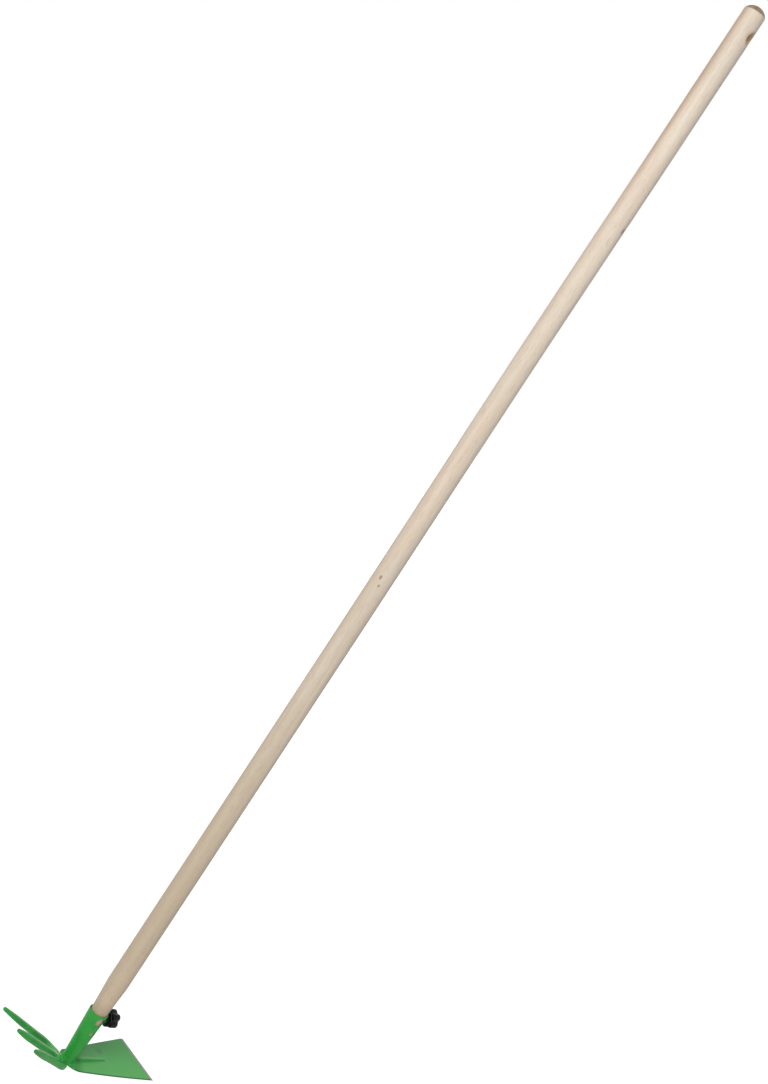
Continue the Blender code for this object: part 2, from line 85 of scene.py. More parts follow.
CLAMP_Z = -1412.4 * MM
SCREW_RADIUS = 4 * MM
SCREW_PITCH = 1.25 * MM
HEX_ACROSS_FLATS = 13 * MM
NUT_HEIGHT = 6.5 * MM
WASHER_RADIUS = 9 * MM
WASHER_THICKNESS = 1.5 * MM
KNOB_RADIUS = 12 * MM
KNOB_VALLEY = 2.6 * MM
KNOB_THICKNESS = 12 * MM
KNOB_LOBES = 5
KNOB_LOBE_ANGLE = math.radians(50)
KNOB_FLOOR = 6 * MM

# Turned profiles start and end this near the axis.
CORE = 0.2 * MM


# Materials

class Nodes:
    """Short way to write a node tree."""

    def __init__(self, owner):
        self.owner = owner
        owner.use_nodes = True
        self.tree = owner.node_tree

    def fill(self, node, values):
        """Links sockets to a node's inputs or sets their values. Colours come without alpha."""
        for key, value in values.items():
            socket = node.inputs[key]
            if isinstance(value, bpy.types.NodeSocket):
                self.tree.links.new(value, socket)
            elif socket.type == "RGBA":
                socket.default_value = (*value, 1.0)
            else:
                socket.default_value = value

    def new(self, kind, values, **settings):
        node = self.tree.nodes.new("ShaderNode" + kind)
        for key, value in settings.items():
            setattr(node, key, value)
        self.fill(node, values)
        return node

    def show(self, plain, seen, output):
        """One shader where a thing is seen directly or in a reflection, and a plain one for other light."""
        path = self.new("LightPath", {}).outputs
        factor = path["Is Camera Ray"]
        for name in ("Is Glossy Ray", "Is Transmission Ray"):
            factor = self.new("Math", {0: factor, 1: path[name]}, operation="MAXIMUM").outputs[0]
        mix = self.new("MixShader", {0: factor, 1: plain.outputs[0], 2: seen.outputs[0]})
        self.fill(self.tree.nodes[output], {"Surface": mix.outputs[0]})


class Material(Nodes):
    """Node tree of a material, in its object's own space."""

    def __init__(self, name):
        super().__init__(bpy.data.materials.new(name))
        self.shader = self.tree.nodes["Principled BSDF"]
        self.place = self.new("TexCoord", {}).outputs["Object"]

    def grain(self, scale, detail, roughness=0.5, offset=(0, 0, 0)):
        """Noise with a scale and an offset for each axis."""
        scale = scale if isinstance(scale, tuple) else (scale,) * 3
        place = self.new("Mapping", {"Vector": self.place, "Scale": scale, "Location": offset}).outputs[0]
        values = {"Vector": place, "Scale": 1.0, "Detail": detail, "Roughness": roughness}
        return self.new("TexNoise", values).outputs["Fac"]

    def math(self, operation, a, b=0.0):
        return self.new("Math", {0: a, 1: b}, operation=operation).outputs[0]

    def plus(self, a, b):
        return self.math("ADD", a, b)

    def minus(self, a, b):
        return self.math("SUBTRACT", a, b)

    def times(self, a, b):
        return self.math("MULTIPLY", a, b)

    def swing(self, noise_value, amount):
        """Noise turned into a small shift to either side."""
        return self.times(self.minus(noise_value, 0.5), amount)

    def ramp(self, value, low, high, to_low=0.0, to_high=1.0):
        """Smooth step from one value to another."""
        values = {"Value": value, "From Min": low, "From Max": high, "To Min": to_low, "To Max": to_high}
        return self.new("MapRange", values, interpolation_type="SMOOTHSTEP").outputs["Result"]

    def mix(self, factor, a, b):
        return self.new("Mix", {0: factor, 6: a, 7: b}, data_type="RGBA").outputs[2]

    def over(self, base, colour, cover, amount):
        """Part of a colour laid over another where it covers."""
        return self.mix(self.times(cover, amount), base, colour)

    def split(self, vector):
        return self.new("SeparateXYZ", {0: vector}).outputs

    def distance(self, point, scale=(1, 1, 1)):
        """Distance from a point, with the axes weighted."""
        moved = self.new("VectorMath", {0: self.place, 1: point}, operation="SUBTRACT").outputs[0]
        weighed = self.new("VectorMath", {0: moved, 1: scale}, operation="MULTIPLY").outputs[0]
        return self.new("VectorMath", {0: weighed}, operation="LENGTH").outputs["Value"]

    def bump(self, height, distance, strength):
        values = {"Height": height, "Distance": distance, "Strength": strength}
        return self.new("Bump", values).outputs["Normal"]

    def finish(self, colour, roughness, normal, metallic=0.0, specular=0.5):
        self.fill(self.shader, {"Base Color": colour, "Roughness": roughness, "Metallic": metallic,
                                "Specular IOR Level": specular, "Normal": normal})
        return self.owner


# Colours of the wood. The first of a pair is for the lower end of the handle, and the second for its top.
CREAM = (0.57, 0.468, 0.338), (0.75, 0.657, 0.553)
TAN = (0.48, 0.372, 0.252), (0.67, 0.54, 0.405)
DRIFT_TAN = (0.62, 0.47, 0.33)
BLUSH = (0.75, 0.54, 0.39)
PALE_WOOD = (0.84, 0.75, 0.65)
FIBRE_BROWN = (0.46, 0.32, 0.20)
PORE_BROWN = (0.33, 0.20, 0.11)
FLECK_BROWN = (0.44, 0.31, 0.19)
# The next two colours are painted shade on the handle's two edges.
WARM_EDGE_SHADE = (0.53, 0.355, 0.235)
GREY_EDGE_SHADE = (0.40, 0.34, 0.27)
HAND_SOIL = (0.44, 0.365, 0.28)
KNOT_BROWN = (0.26, 0.13, 0.065)
# Dark end grain, which is also painted shade on the dome.
END_GRAIN_AND_SHADE = (0.215, 0.150, 0.088), (0.150, 0.098, 0.055)
HOLE_STAIN = (0.47, 0.33, 0.215)
# Pale bore wood, made paler still to offset the shade inside the hole: partly painted light.
HOLE_WOOD_AND_LIGHT = (0.86, 0.64, 0.45)
SOCKET_GRIME = (0.30, 0.22, 0.14)

# Place, size and depth of tone of each pin knot.
KNOTS = [
    ((0.0060, -0.0123, -0.751), 2.6 * MM, 0.75),
    ((0.0090, -0.0103, -0.761), 1.8 * MM, 0.65),
    ((0.0134, 0.0020, -0.258), 3.4 * MM, 0.70),
    ((-0.0120, 0.0060, -0.464), 3.0 * MM, 0.7),
    ((-0.0040, 0.0130, -1.104), 2.2 * MM, 0.6),
]

# The heart of the tree lies off the handle's axis, and growth rings lie round it.
HEART = (0.055, 0.028, 0)
RING_DENSITY = 520.0
END_RING_DENSITY = 3200.0


def wood_material():
    n = Material("beech_wood")
    x, y, z = n.split(n.place)

    # Growth rings show as long streaks along the handle.
    waver = n.grain((14, 14, 2.2), 2.0)
    ring_space = n.distance(HEART, (1, 1, 0))
    rings = n.math("SINE", n.plus(n.times(ring_space, RING_DENSITY), n.times(waver, 9.0)))
    streaks = n.ramp(rings, -0.4, 1.0)

    # Fine fibres and pores, and broad drifts of tone along the length.
    fibre = n.grain((900, 900, 12), 4.0, 0.6)
    pores = n.ramp(n.grain((2600, 2600, 55), 2.0, 0.5, (3, 1, 2)), 0.60, 0.72)
    flecks = n.ramp(n.grain((330, 330, 80), 3.0, 0.5, (5, 1, 4)), 0.60, 0.74)
    drift = n.grain((26, 26, 3.1), 3.0, 0.55, (0.4, 0.1, 0.7))
    blush = n.ramp(n.grain((60, 60, 5.5), 3.0, 0.55, (1.7, 0.3, 0.2)), 0.48, 0.68)
    pale = n.ramp(n.grain((90, 90, 4.0), 3.0, 0.5, (0.2, 2.3, 1.1)), 0.52, 0.70)

    height = n.ramp(z, -1.44, -0.30)
    base = n.over(n.mix(height, *CREAM), n.mix(height, *TAN), streaks, 0.17)
    base = n.over(base, DRIFT_TAN, n.ramp(drift, 0.40, 0.68), 0.35)
    base = n.over(base, BLUSH, blush, 0.34)
    base = n.over(base, PALE_WOOD, pale, 0.22)
    base = n.over(base, FIBRE_BROWN, n.ramp(fibre, 0.45, 0.75), 0.22)
    base = n.over(base, PORE_BROWN, pores, 0.45)
    base = n.over(base, FLECK_BROWN, flecks, 0.26)

    # One edge of the handle, as the camera sees it, is painted warmer and browner towards the top, and the
    # other a little greyed: both are painted shade.
    side = n.plus(n.times(x, -0.72 / HANDLE_RADIUS), n.times(y, -0.69 / HANDLE_RADIUS))
    side = n.plus(side, n.swing(drift, 0.35))
    warm_edge_shade = n.times(n.ramp(side, 0.42, 0.95), n.ramp(z, -0.34, -0.06, 0.12, 1.0))
    base = n.over(base, WARM_EDGE_SHADE, warm_edge_shade, 0.80)
    base = n.mix(n.ramp(side, -0.98, -0.45, 0.32, 0.0), base, GREY_EDGE_SHADE)

    # Hands have soiled the last stretch below the dome.
    base = n.mix(n.ramp(z, -0.16, 0.01, 0.0, 0.24), base, HAND_SOIL)

    for point, size, depth in KNOTS:
        away = n.plus(n.distance(point, (1, 1, 0.55)), n.swing(fibre, 1.8 * MM))
        base = n.over(base, KNOT_BROWN, n.ramp(away, size * 0.35, size * 0.9, 1.0, 0.0), depth)

    # Smudged end grain on the dome, made dark also to stand for the shade on the dome: partly painted shade.
    rim = HANDLE_TOP - DOME_HEIGHT
    end_rings = n.math("SINE", n.plus(n.times(ring_space, END_RING_DENSITY), n.times(waver, 14.0)))
    end_grain_and_shade = n.mix(n.ramp(end_rings, -0.6, 1.0), *END_GRAIN_AND_SHADE)
    smudge = n.ramp(n.grain(160, 4.0), 0.30, 0.70, 0.80, 1.0)
    on_dome = n.ramp(n.plus(z, n.swing(drift, 3.0 * MM)), rim + 0.1 * MM, rim + 2.2 * MM)
    base = n.over(base, end_grain_and_shade, on_dome, smudge)

    # The hang hole is stained, and so is its flared rim.
    across = n.minus(n.times(y, math.cos(HOLE_TURN)), n.times(x, math.sin(HOLE_TURN)))
    away = n.math("SQRT", n.plus(n.math("POWER", across, 2.0), n.math("POWER", z, 2.0)))
    stain = n.ramp(n.plus(away, n.swing(waver, 2 * MM)), 6.2 * MM, 10.6 * MM, 1.0, 0.0)
    base = n.over(base, HOLE_STAIN, stain, 0.90)
    # The bore's pale wood, partly painted light inside the hole.
    base = n.mix(n.ramp(away, 5.7 * MM, 6.4 * MM, 0.9, 0.0), base, HOLE_WOOD_AND_LIGHT)

    # Dirt gathers where the handle enters the socket.
    grime = n.ramp(n.plus(z, n.times(drift, 0.01)), -1.396, -1.376, 1.0, 0.0)
    base = n.over(base, SOCKET_GRIME, grime, 0.35)

    normal = n.bump(n.minus(n.times(fibre, 0.5), n.times(pores, 0.6)), 0.18 * MM, 0.6)
    return n.finish(base, n.ramp(fibre, 0.3, 0.8, 0.50, 0.66), normal, specular=0.32)


# Colours of the paints, their dust and their chips.
SOCKET_GREEN = (0.024, 0.310, 0.041)
FORK_GREEN = (0.027, 0.300, 0.045)
WELD_GREEN = (0.028, 0.310, 0.046)
# The nut's weld and the nut are painted dark green and nearly black, as painted shade between the socket and
# the grip.
NUT_WELD_SHADE_GREEN = (0.014, 0.150, 0.024)
NUT_SHADE_GREEN = (0.002, 0.010, 0.003)
PAINT_DUST = (0.25, 0.42, 0.23)
PAINT_CHIP = (0.16, 0.17, 0.15)


def paint_material(name, base_colour, wear, lit_spot=None, sheen=0.0, dusty=0.09, gloss=0.25):
    """Green powder coat with fine orange peel, a little dust and small chips.

    A lit spot is painted light, a brighter colour where shade falls: a point, the weights of its axes, its
    radius and its colour. The sheen is how much glossier it is than the rest.
    """
    n = Material(name)
    cloud = n.grain((38, 38, 30), 4.0, 0.55)
    lighter = tuple(c * 1.16 + 0.004 for c in base_colour)
    darker = tuple(c * 0.84 for c in base_colour)
    base = n.mix(n.ramp(cloud, 0.36, 0.66), darker, lighter)
    dust = n.ramp(n.grain((420, 420, 260), 5.0, 0.65, (2, 5, 1)), 0.56, 0.74)
    base = n.over(base, PAINT_DUST, dust, dusty)
    rough = n.ramp(cloud, 0.3, 0.7, 0.36, 0.48)
    if lit_spot:
        point, weights, radius, colour = lit_spot
        at_spot = n.ramp(n.distance(point, weights), 0.45 * radius, radius, 1.0, 0.0)
        # Painted light: the spot is painted brighter.
        base = n.mix(at_spot, base, colour)
        if sheen:
            rough = n.times(rough, n.minus(1.0, n.times(at_spot, sheen)))
            gloss = n.plus(gloss, n.times(at_spot, sheen * 0.7))
    chips = n.ramp(n.grain((1100, 1100, 900), 2.0, 0.4, (7, 1, 3)), 0.735, 0.755)
    base = n.over(base, PAINT_CHIP, chips, wear)
    peel = n.grain(1500, 2.0)
    normal = n.bump(n.minus(peel, n.times(chips, 0.8)), 0.05 * MM, 0.5)
    return n.finish(base, rough, normal, specular=gloss)


# Colours of the blade. The first flat green is for its far side, painted darker as painted shade, and the
# second for its near side, painted lighter as painted light; both are paler than the socket's green, as
# painted reflection.
FLAT_GREEN_SHADE_AND_LIGHT = (0.066, 0.325, 0.078), (0.092, 0.440, 0.098)
RUB_GREEN = (0.21, 0.42, 0.20)
# Painted shade on the blade's flanks and rounded borders.
FLANK_SHADE_GREEN = (0.024, 0.285, 0.038)
BORDER_SHADE_GREEN = (0.020, 0.150, 0.036)
# A painted highlight on the rib's crest, and painted shade where the rib starts.
CREST_HIGHLIGHT_GREEN = (0.21, 0.42, 0.22)
FOOT_SHADE_GREEN = (0.010, 0.090, 0.018)
SPOT_GREEN = (0.035, 0.12, 0.045)
BLADE_CHIP = (0.17, 0.17, 0.16)
WORN_GREEN = (0.035, 0.15, 0.055)
GROUND_STEEL = (0.20, 0.165, 0.155), (0.33, 0.285, 0.27)
EDGE_RUST = (0.22, 0.13, 0.10)


def blade_material():
    """The socket's paint, with painted light and shade, the dull spot, rub marks and the bare ground edge of
    the blade.
    """
    n = Material("green_paint_blade")
    x, y, _ = n.split(n.place)
    cloud = n.grain((30, 22, 30), 4.0, 0.55)
    # Painted light and shade: the flats are lighter on the near side than on the far side.
    flat = n.mix(n.ramp(n.plus(x, n.times(cloud, 0.02)), -0.02, 0.05), *FLAT_GREEN_SHADE_AND_LIGHT)
    rubs = n.ramp(n.grain((700, 26, 400), 5.0, 0.62, (1, 4, 2)), 0.54, 0.80)
    flat = n.over(flat, RUB_GREEN, rubs, 0.26)

    # The flats that face up are painted pale, as painted reflection. Flanks, borders and the part near the
    # socket keep the deep green, darker at the borders, as painted shade.
    facing = n.split(n.new("TexCoord", {}).outputs["Normal"])[2]
    near_socket = n.ramp(n.distance((0, 0, FOOT), (1, 1, 0)), 14 * MM, 27 * MM)
    lit_flats = n.times(n.ramp(facing, 0.90, 0.985), near_socket)
    border = n.ramp(n.math("ABSOLUTE", x), 15 * MM, 18 * MM)
    base = n.mix(lit_flats, n.mix(border, FLANK_SHADE_GREEN, BORDER_SHADE_GREEN), flat)

    # The crest of the rib is painted pale, as a painted highlight, and where the rib starts by the socket's
    # foot it is painted dark, as painted shade.
    crest = n.ramp(n.math("ABSOLUTE", n.plus(x, 1.6 * MM)), 1.0 * MM, 2.4 * MM, 1.0, 0.0)
    along = n.times(n.ramp(y, 19 * MM, 24 * MM), n.ramp(y, 52 * MM, 66 * MM, 1.0, 0.0))
    base = n.over(base, CREST_HIGHLIGHT_GREEN, n.times(crest, along), 0.40)
    foot_shade = n.distance((1.8 * MM, 15.5 * MM, FOOT + 1 * MM), (0.9, 1, 0.5))
    foot_shade = n.ramp(n.plus(foot_shade, n.swing(cloud, 9 * MM)), 1.0 * MM, 6.0 * MM, 1.0, 0.0)
    base = n.over(base, FOOT_SHADE_GREEN, foot_shade, 0.55)
    spot = n.ramp(n.distance((-15.6 * MM, 64 * MM, -1476 * MM)), 2.0 * MM, 7.5 * MM, 1.0, 0.0)
    base = n.over(base, SPOT_GREEN, spot, 0.42)
    chips = n.ramp(n.grain(900, 2.0, 0.4, (2, 8, 3)), 0.73, 0.75)
    base = n.over(base, BLADE_CHIP, chips, 0.6)

    # The bare band is widest at the near corner. Dark, half-worn paint borders it.
    ragged = n.swing(n.grain((260, 40, 40), 4.0, 0.6), 1.6 * MM)
    inward = n.plus(n.minus(BLADE_REACH * math.cos(BLADE_TILT), y), ragged)
    past_band = n.minus(inward, n.ramp(x, -0.03, 0.04, 2.9 * MM, 5.0 * MM))
    bare = n.ramp(past_band, -0.2 * MM, 0.3 * MM, 1.0, 0.0)
    base = n.over(base, WORN_GREEN, n.ramp(past_band, 0.4 * MM, 1.8 * MM, 1.0, 0.0), 0.75)
    lines = n.grain((2400, 90, 90), 3.0, 0.6, (5, 2, 8))
    rust = n.ramp(n.grain(240, 4.0, 0.6, (9, 1, 4)), 0.56, 0.72)
    steel = n.over(n.mix(n.ramp(lines, 0.35, 0.65), *GROUND_STEEL), EDGE_RUST, rust, 0.45)
    base = n.mix(bare, base, steel)

    peel = n.grain(1400, 2.0)
    height = n.plus(n.times(peel, 0.6), n.times(lines, n.times(bare, 0.5)))
    normal = n.bump(n.minus(height, n.times(chips, 0.7)), 0.05 * MM, 0.5)
    rough = n.plus(n.ramp(cloud, 0.3, 0.7, 0.38, 0.48), n.times(bare, -0.06))
    return n.finish(base, rough, normal, n.times(bare, 0.45), 0.30)


def plastic_material():
    n = Material("black_plastic")
    cloud = n.grain(150, 4.0, 0.55)
    base = n.mix(n.ramp(cloud, 0.35, 0.7), (0.0028, 0.0028, 0.0032), (0.0052, 0.0052, 0.0056))
    dust = n.ramp(n.grain(600, 4.0, 0.6, (3, 3, 1)), 0.60, 0.78)
    base = n.over(base, (0.12, 0.115, 0.105), dust, 0.05)
    normal = n.bump(n.grain(2200, 3.0, 0.55), 0.06 * MM, 0.6)
    return n.finish(base, n.ramp(cloud, 0.3, 0.7, 0.36, 0.50), normal, specular=0.12)


def metal_material(name, light, dark, roughness, tint=(0.55, 0.50, 0.36), tarnish=0.25):
    n = Material(name)
    cloud = n.grain(240, 4.0, 0.6)
    stain = n.ramp(n.grain(520, 4.0, 0.6, (4, 2, 6)), 0.55, 0.74)
    base = n.over(n.mix(n.ramp(cloud, 0.35, 0.68), dark, light), tint, stain, tarnish)
    normal = n.bump(n.grain((3200, 600, 3200), 2.0), 0.03 * MM, 0.4)
    return n.finish(base, n.ramp(cloud, 0.3, 0.7, *roughness), normal, 1.0)


# Mesh helpers

def link(name, data):
    obj = bpy.data.objects.new(name, data)
    bpy.context.scene.collection.objects.link(obj)
    return obj


def shade(obj, sharp):
    """Smooth shading with creases over an angle in degrees."""
    obj.data.shade_smooth()
    obj.data.set_sharp_from_angle(angle=math.radians(sharp))


def mesh_object(name, bm, material=None, sharp=35):
    bmesh.ops.remove_doubles(bm, verts=bm.verts, dist=1e-7)
    bmesh.ops.recalc_face_normals(bm, faces=bm.faces)
    mesh = bpy.data.meshes.new(name)
    bm.to_mesh(mesh)
    bm.free()
    obj = link(name, mesh)
    if material is not None:
        mesh.materials.append(material)
    shade(obj, sharp)
    return obj


def apply_modifiers(obj, sharp):
    bpy.context.view_layer.update()
    graph = bpy.context.evaluated_depsgraph_get()
    mesh = bpy.data.meshes.new_from_object(obj.evaluated_get(graph))
    mesh.name = obj.name
    obj.modifiers.clear()
    obj.data = mesh
    shade(obj, sharp)


def cut(obj, cutters, sharp, bevel=None):
    """Takes the cutters out of an object. A bevel is a width, segments and the least angle in degrees."""
    for cutter in cutters:
        modifier = obj.modifiers.new("cut", "BOOLEAN")
        modifier.operation = "DIFFERENCE"
        modifier.solver = "EXACT"
        modifier.object = cutter
    if bevel:
        modifier = obj.modifiers.new("bevel", "BEVEL")
        modifier.width, modifier.segments, limit = bevel
        modifier.limit_method = "ANGLE"
        modifier.angle_limit = math.radians(limit)
    apply_modifiers(obj, sharp)
    for cutter in cutters:
        bpy.data.objects.remove(cutter, do_unlink=True)


def skin(bm, rings, closed=False):
    """Faces between rings of points, with flat ends, or with the last ring joined to the first."""
    loops = [[bm.verts.new(p) for p in ring] for ring in rings]
    pairs = list(zip(loops, loops[1:]))
    if closed:
        pairs.append((loops[-1], loops[0]))
    for lower, upper in pairs:
        count = len(lower)
        for i in range(count):
            j = (i + 1) % count
            bm.faces.new((lower[i], lower[j], upper[j], upper[i]))
    if not closed:
        bm.faces.new(loops[0])
        bm.faces.new(loops[-1])


def solid(name, rings, material=None, sharp=35, closed=False):
    bm = bmesh.new()
    skin(bm, rings, closed)
    return mesh_object(name, bm, material, sharp)


def turns(count):
    return [2 * math.pi * i / count for i in range(count)]


def polar(radius, turn, z):
    return Vector((radius * math.cos(turn), radius * math.sin(turn), z))


def ring(radius, z, sides):
    return [polar(radius, turn, z) for turn in turns(sides)]


def lathe(name, profile, sides, material=None, sharp=35, closed=False):
    """Turned solid from (radius, height) pairs. An open profile starts and ends near the axis."""
    return solid(name, [ring(r, z, sides) for r, z in profile], material, sharp, closed)


def drill(name, radius, low, high, sides):
    return lathe(name, [(CORE, low), (radius, low), (radius, high), (CORE, high)], sides)


def arc(centre, radius, start, end, steps):
    """Points on an arc in a profile, from one angle in degrees to another."""
    points = []
    for i in range(steps + 1):
        a = math.radians(start + (end - start) * i / steps)
        points.append((centre[0] + radius * math.cos(a), centre[1] + radius * math.sin(a)))
    return points


def steps_to(start, end, count):
    """Even steps after the start, up to the end."""
    return [start + (end - start) * i / count for i in range(1, count + 1)]


def smooth_curve(keys, value):
    """Smooth value between (place, value) keys."""
    if value <= keys[0][0]:
        return keys[0][1]
    for (a, va), (b, vb) in zip(keys, keys[1:]):
        if value <= b:
            t = (value - a) / (b - a)
            t = t * t * (3 - 2 * t)
            return va + (vb - va) * t
    return keys[-1][1]


def dress(piece, node, body):
    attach(piece, body)
    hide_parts(node)


# Shape of the head, shared by its pieces

# The socket's inside in the scene is this far from the cone of the handle.
INSIDE_CLEARANCE = 0.2 * MM


def handle_radius(z):
    share = (z - HANDLE_END) / TAPER_LENGTH
    return min(HANDLE_RADIUS, TAPER_END_RADIUS + (HANDLE_RADIUS - TAPER_END_RADIUS) * share)


def socket_inside(z):
    slope = (handle_radius(MOUTH) - TAPER_END_RADIUS) / (MOUTH - HANDLE_END)
    return TAPER_END_RADIUS + INSIDE_CLEARANCE + slope * (z - HANDLE_END)


def socket_outside(z):
    slope = (handle_radius(MOUTH) - TAPER_END_RADIUS + MOUTH_CLEARANCE - GAP) / (MOUTH - HANDLE_END)
    return TAPER_END_RADIUS + GAP + SOCKET_WALL + slope * (z - HANDLE_END)


BLADE_FRAME = Matrix.Translation((0, 0, FOOT)) @ Matrix.Rotation(BLADE_TILT, 4, "X")
FORK_FRAME = Matrix.Translation((0, -FORK_ROOT_REACH, FORK_ROOT)) @ Matrix.Rotation(-FORK_RISE, 4, "X")

NUT_SEAT = socket_outside(CLAMP_Z + HEX_ACROSS_FLATS / math.sqrt(3)) + GAP
WASHER_SEAT = NUT_SEAT + NUT_HEIGHT + GAP
KNOB_SEAT = WASHER_SEAT + WASHER_THICKNESS + GAP


def clamp_place(y):
    """Turns a piece's own +Z to the tool's +Y, on the clamp's axis."""
    return Matrix.Translation((0, y, CLAMP_Z)) @ Matrix.Rotation(-math.pi / 2, 4, "X")


# Handle

# The real dome is a little flatter than the solid's, and fuller near its rim.
REAL_DOME_HEIGHT = 8.3 * MM
DOME_FULLNESS = 0.035

# The real cone is a little slimmer near the socket's mouth.
TAPER_ROWS = 12
TAPER_SLIMMING = 0.35 * MM

# Rows of faces are closer together above this height, round the hang hole.
HOLE_ZONE = -30 * MM

# The flared rim of the hang hole stops short of a full quarter turn.
FLARE_TURN = 0.92 * math.pi / 2
FLARE_SPREAD = 1.05
FLARE_STEPS = 8

# The real handle is slightly bowed: place up the handle and offset, both in metres.
BOW = [(-1.46, 0.15 * MM), (-1.36, 0.35 * MM), (-1.154, 0.35 * MM), (-0.854, 0.25 * MM), (-0.454, -0.7 * MM),
       (-0.104, 0.55 * MM), (0.036, 0.85 * MM)]
BOW_SIDE = math.radians(39)


def handle_profile():
    sphere = (HANDLE_RADIUS**2 + REAL_DOME_HEIGHT**2) / (2 * REAL_DOME_HEIGHT)
    half = math.asin(HANDLE_RADIUS / sphere)
    dome_steps = 14
    taper_top = HANDLE_END + TAPER_LENGTH
    shoulder = taper_top + 4 * MM
    # The sawn end has a small round.
    profile = [(2 * CORE, HANDLE_END), (TAPER_END_RADIUS - 1.5 * MM, HANDLE_END),
               (handle_radius(HANDLE_END + 1.5 * MM) - 0.2 * MM, HANDLE_END + 1.2 * MM),
               (handle_radius(HANDLE_END + 2 * MM), HANDLE_END + 2 * MM)]
    for i in range(1, TAPER_ROWS):
        z = HANDLE_END + TAPER_LENGTH * i / TAPER_ROWS
        slim = TAPER_SLIMMING * max(0.0, math.sin(math.pi * (i - 3) / 10))
        profile.append((handle_radius(z) - slim, z))
    # The cone runs into the full diameter with a soft shoulder.
    profile += [(HANDLE_RADIUS - 0.12 * MM, taper_top - 1 * MM), (HANDLE_RADIUS, shoulder)]
    below_dome = HANDLE_TOP - REAL_DOME_HEIGHT - 0.5 * MM
    for z in steps_to(shoulder, HOLE_ZONE, 56) + steps_to(HOLE_ZONE, below_dome, 25):
        profile.append((HANDLE_RADIUS, z))
    for i in range(dome_steps):
        share = 0.97 * (1 - i / dome_steps)
        fuller = 1 + DOME_FULLNESS * math.sin(math.pi * share)
        sink = sphere * (1 - math.cos(half * share))
        profile.append((sphere * math.sin(half * share) * fuller, HANDLE_TOP - sink))
    return profile + [(CORE, HANDLE_TOP)]


def build_handle(material):
    handle = lathe("wooden_handle", handle_profile(), 96, material, 50)
    inner = HANDLE_RADIUS - HOLE_RIM_DEPTH
    beyond = HANDLE_RADIUS + 2 * MM
    trumpet = []
    for i in range(FLARE_STEPS + 1):
        turn = FLARE_TURN * i / FLARE_STEPS
        trumpet.append((HOLE_RADIUS + HOLE_RIM_DEPTH * (1 - math.cos(turn)) * FLARE_SPREAD,
                        inner + HOLE_RIM_DEPTH * math.sin(turn)))
    trumpet.append((trumpet[-1][0] + 3 * MM, beyond))
    other_end = [(r, -z) for r, z in reversed(trumpet)]
    cutter = lathe("hole_cutter", [(CORE, -beyond)] + other_end + trumpet + [(CORE, beyond)], 64)
    cutter.matrix_world = Matrix.Rotation(HOLE_TURN, 4, "Z") @ Matrix.Rotation(math.pi / 2, 4, "Y")
    cut(handle, [cutter], 50)
    for v in handle.data.vertices:
        offset = smooth_curve(BOW, v.co.z)
        v.co.x += offset * math.cos(BOW_SIDE)
        v.co.y += offset * math.sin(BOW_SIDE)
    dress(handle, "handle", "handle")


# Socket

SOCKET_ROWS = 30
SOCKET_LIP = 0.5 * MM
LIP_ROUND = 0.4 * MM

# Longer than the socket is wide, so a drill from the axis passes its wall.
DRILL_LENGTH = 30 * MM


def build_socket(material):
    low = FOOT - 12 * MM
    high = MOUTH - SOCKET_LIP
    heights = [low] + steps_to(low, high, SOCKET_ROWS)
    rim = arc((socket_outside(MOUTH) - LIP_ROUND, MOUTH - LIP_ROUND), LIP_ROUND, 10, 90, 4)
    rim += arc((socket_inside(MOUTH) + LIP_ROUND, MOUTH - LIP_ROUND), LIP_ROUND, 90, 170, 4)
    profile = [(socket_outside(z), z) for z in heights] + rim
    profile += [(socket_inside(z), z) for z in reversed(heights)]
    socket = lathe("steel_socket", profile, 96, material, 40, closed=True)

    # The foot is cut off along the blade's plane.
    size = 60 * MM
    bm = bmesh.new()
    bmesh.ops.create_cube(bm, size=size)
    foot = mesh_object("foot_cutter", bm)
    foot.matrix_world = BLADE_FRAME @ Matrix.Translation((0, 0, 0.1 * MM - size / 2))
    cutters = [foot]
    for name, radius, depth in SIDE_HOLES:
        cutter = drill(name, radius, 0, DRILL_LENGTH, 64)
        cutter.matrix_world = Matrix.Translation((0, 0, MOUTH - depth)) @ Matrix.Rotation(math.pi / 2, 4, "Y")
        cutters.append(cutter)
    cutter = drill("clamp_hole_cutter", SCREW_RADIUS + GAP, 0, DRILL_LENGTH, 48)
    cutter.matrix_world = clamp_place(0)
    cutters.append(cutter)
    cut(socket, cutters, 40, (0.35 * MM, 3, 50))
    dress(socket, "socket", "head")


# Blade

# Along the pressed rib: height, half width at its base and half width of its crest.
RIB_HEIGHTS = [(7 * MM, 0.0), (10 * MM, 3.2 * MM), (28 * MM, 3.2 * MM), (60 * MM, 1.7 * MM), (RIB_REACH, 0.0)]
RIB_BASES = [(10 * MM, 5.0 * MM), (28 * MM, 4.9 * MM), (60 * MM, 3.5 * MM), (RIB_REACH, 2.4 * MM)]
RIB_CRESTS = [(10 * MM, 2.0 * MM), (60 * MM, 1.5 * MM), (RIB_REACH, 0.8 * MM)]

# The real blade curves up from here to its edge, by this much.
BEND_START = 45 * MM
BEND_HEIGHT = 1.0 * MM

# The far shoulder is squarer than a circle: the power of its superellipse.
FAR_SHOULDER_POWER = 2.3

# The border is rounded over this width, and the plate gets this much thinner there on each face.
BLADE_BORDER = 0.55 * MM
BORDER_THINNING = 0.45 * MM
BORDER_STEPS = (0.0, 0.12, 0.35, 0.65)
HALF_COLUMNS = 52


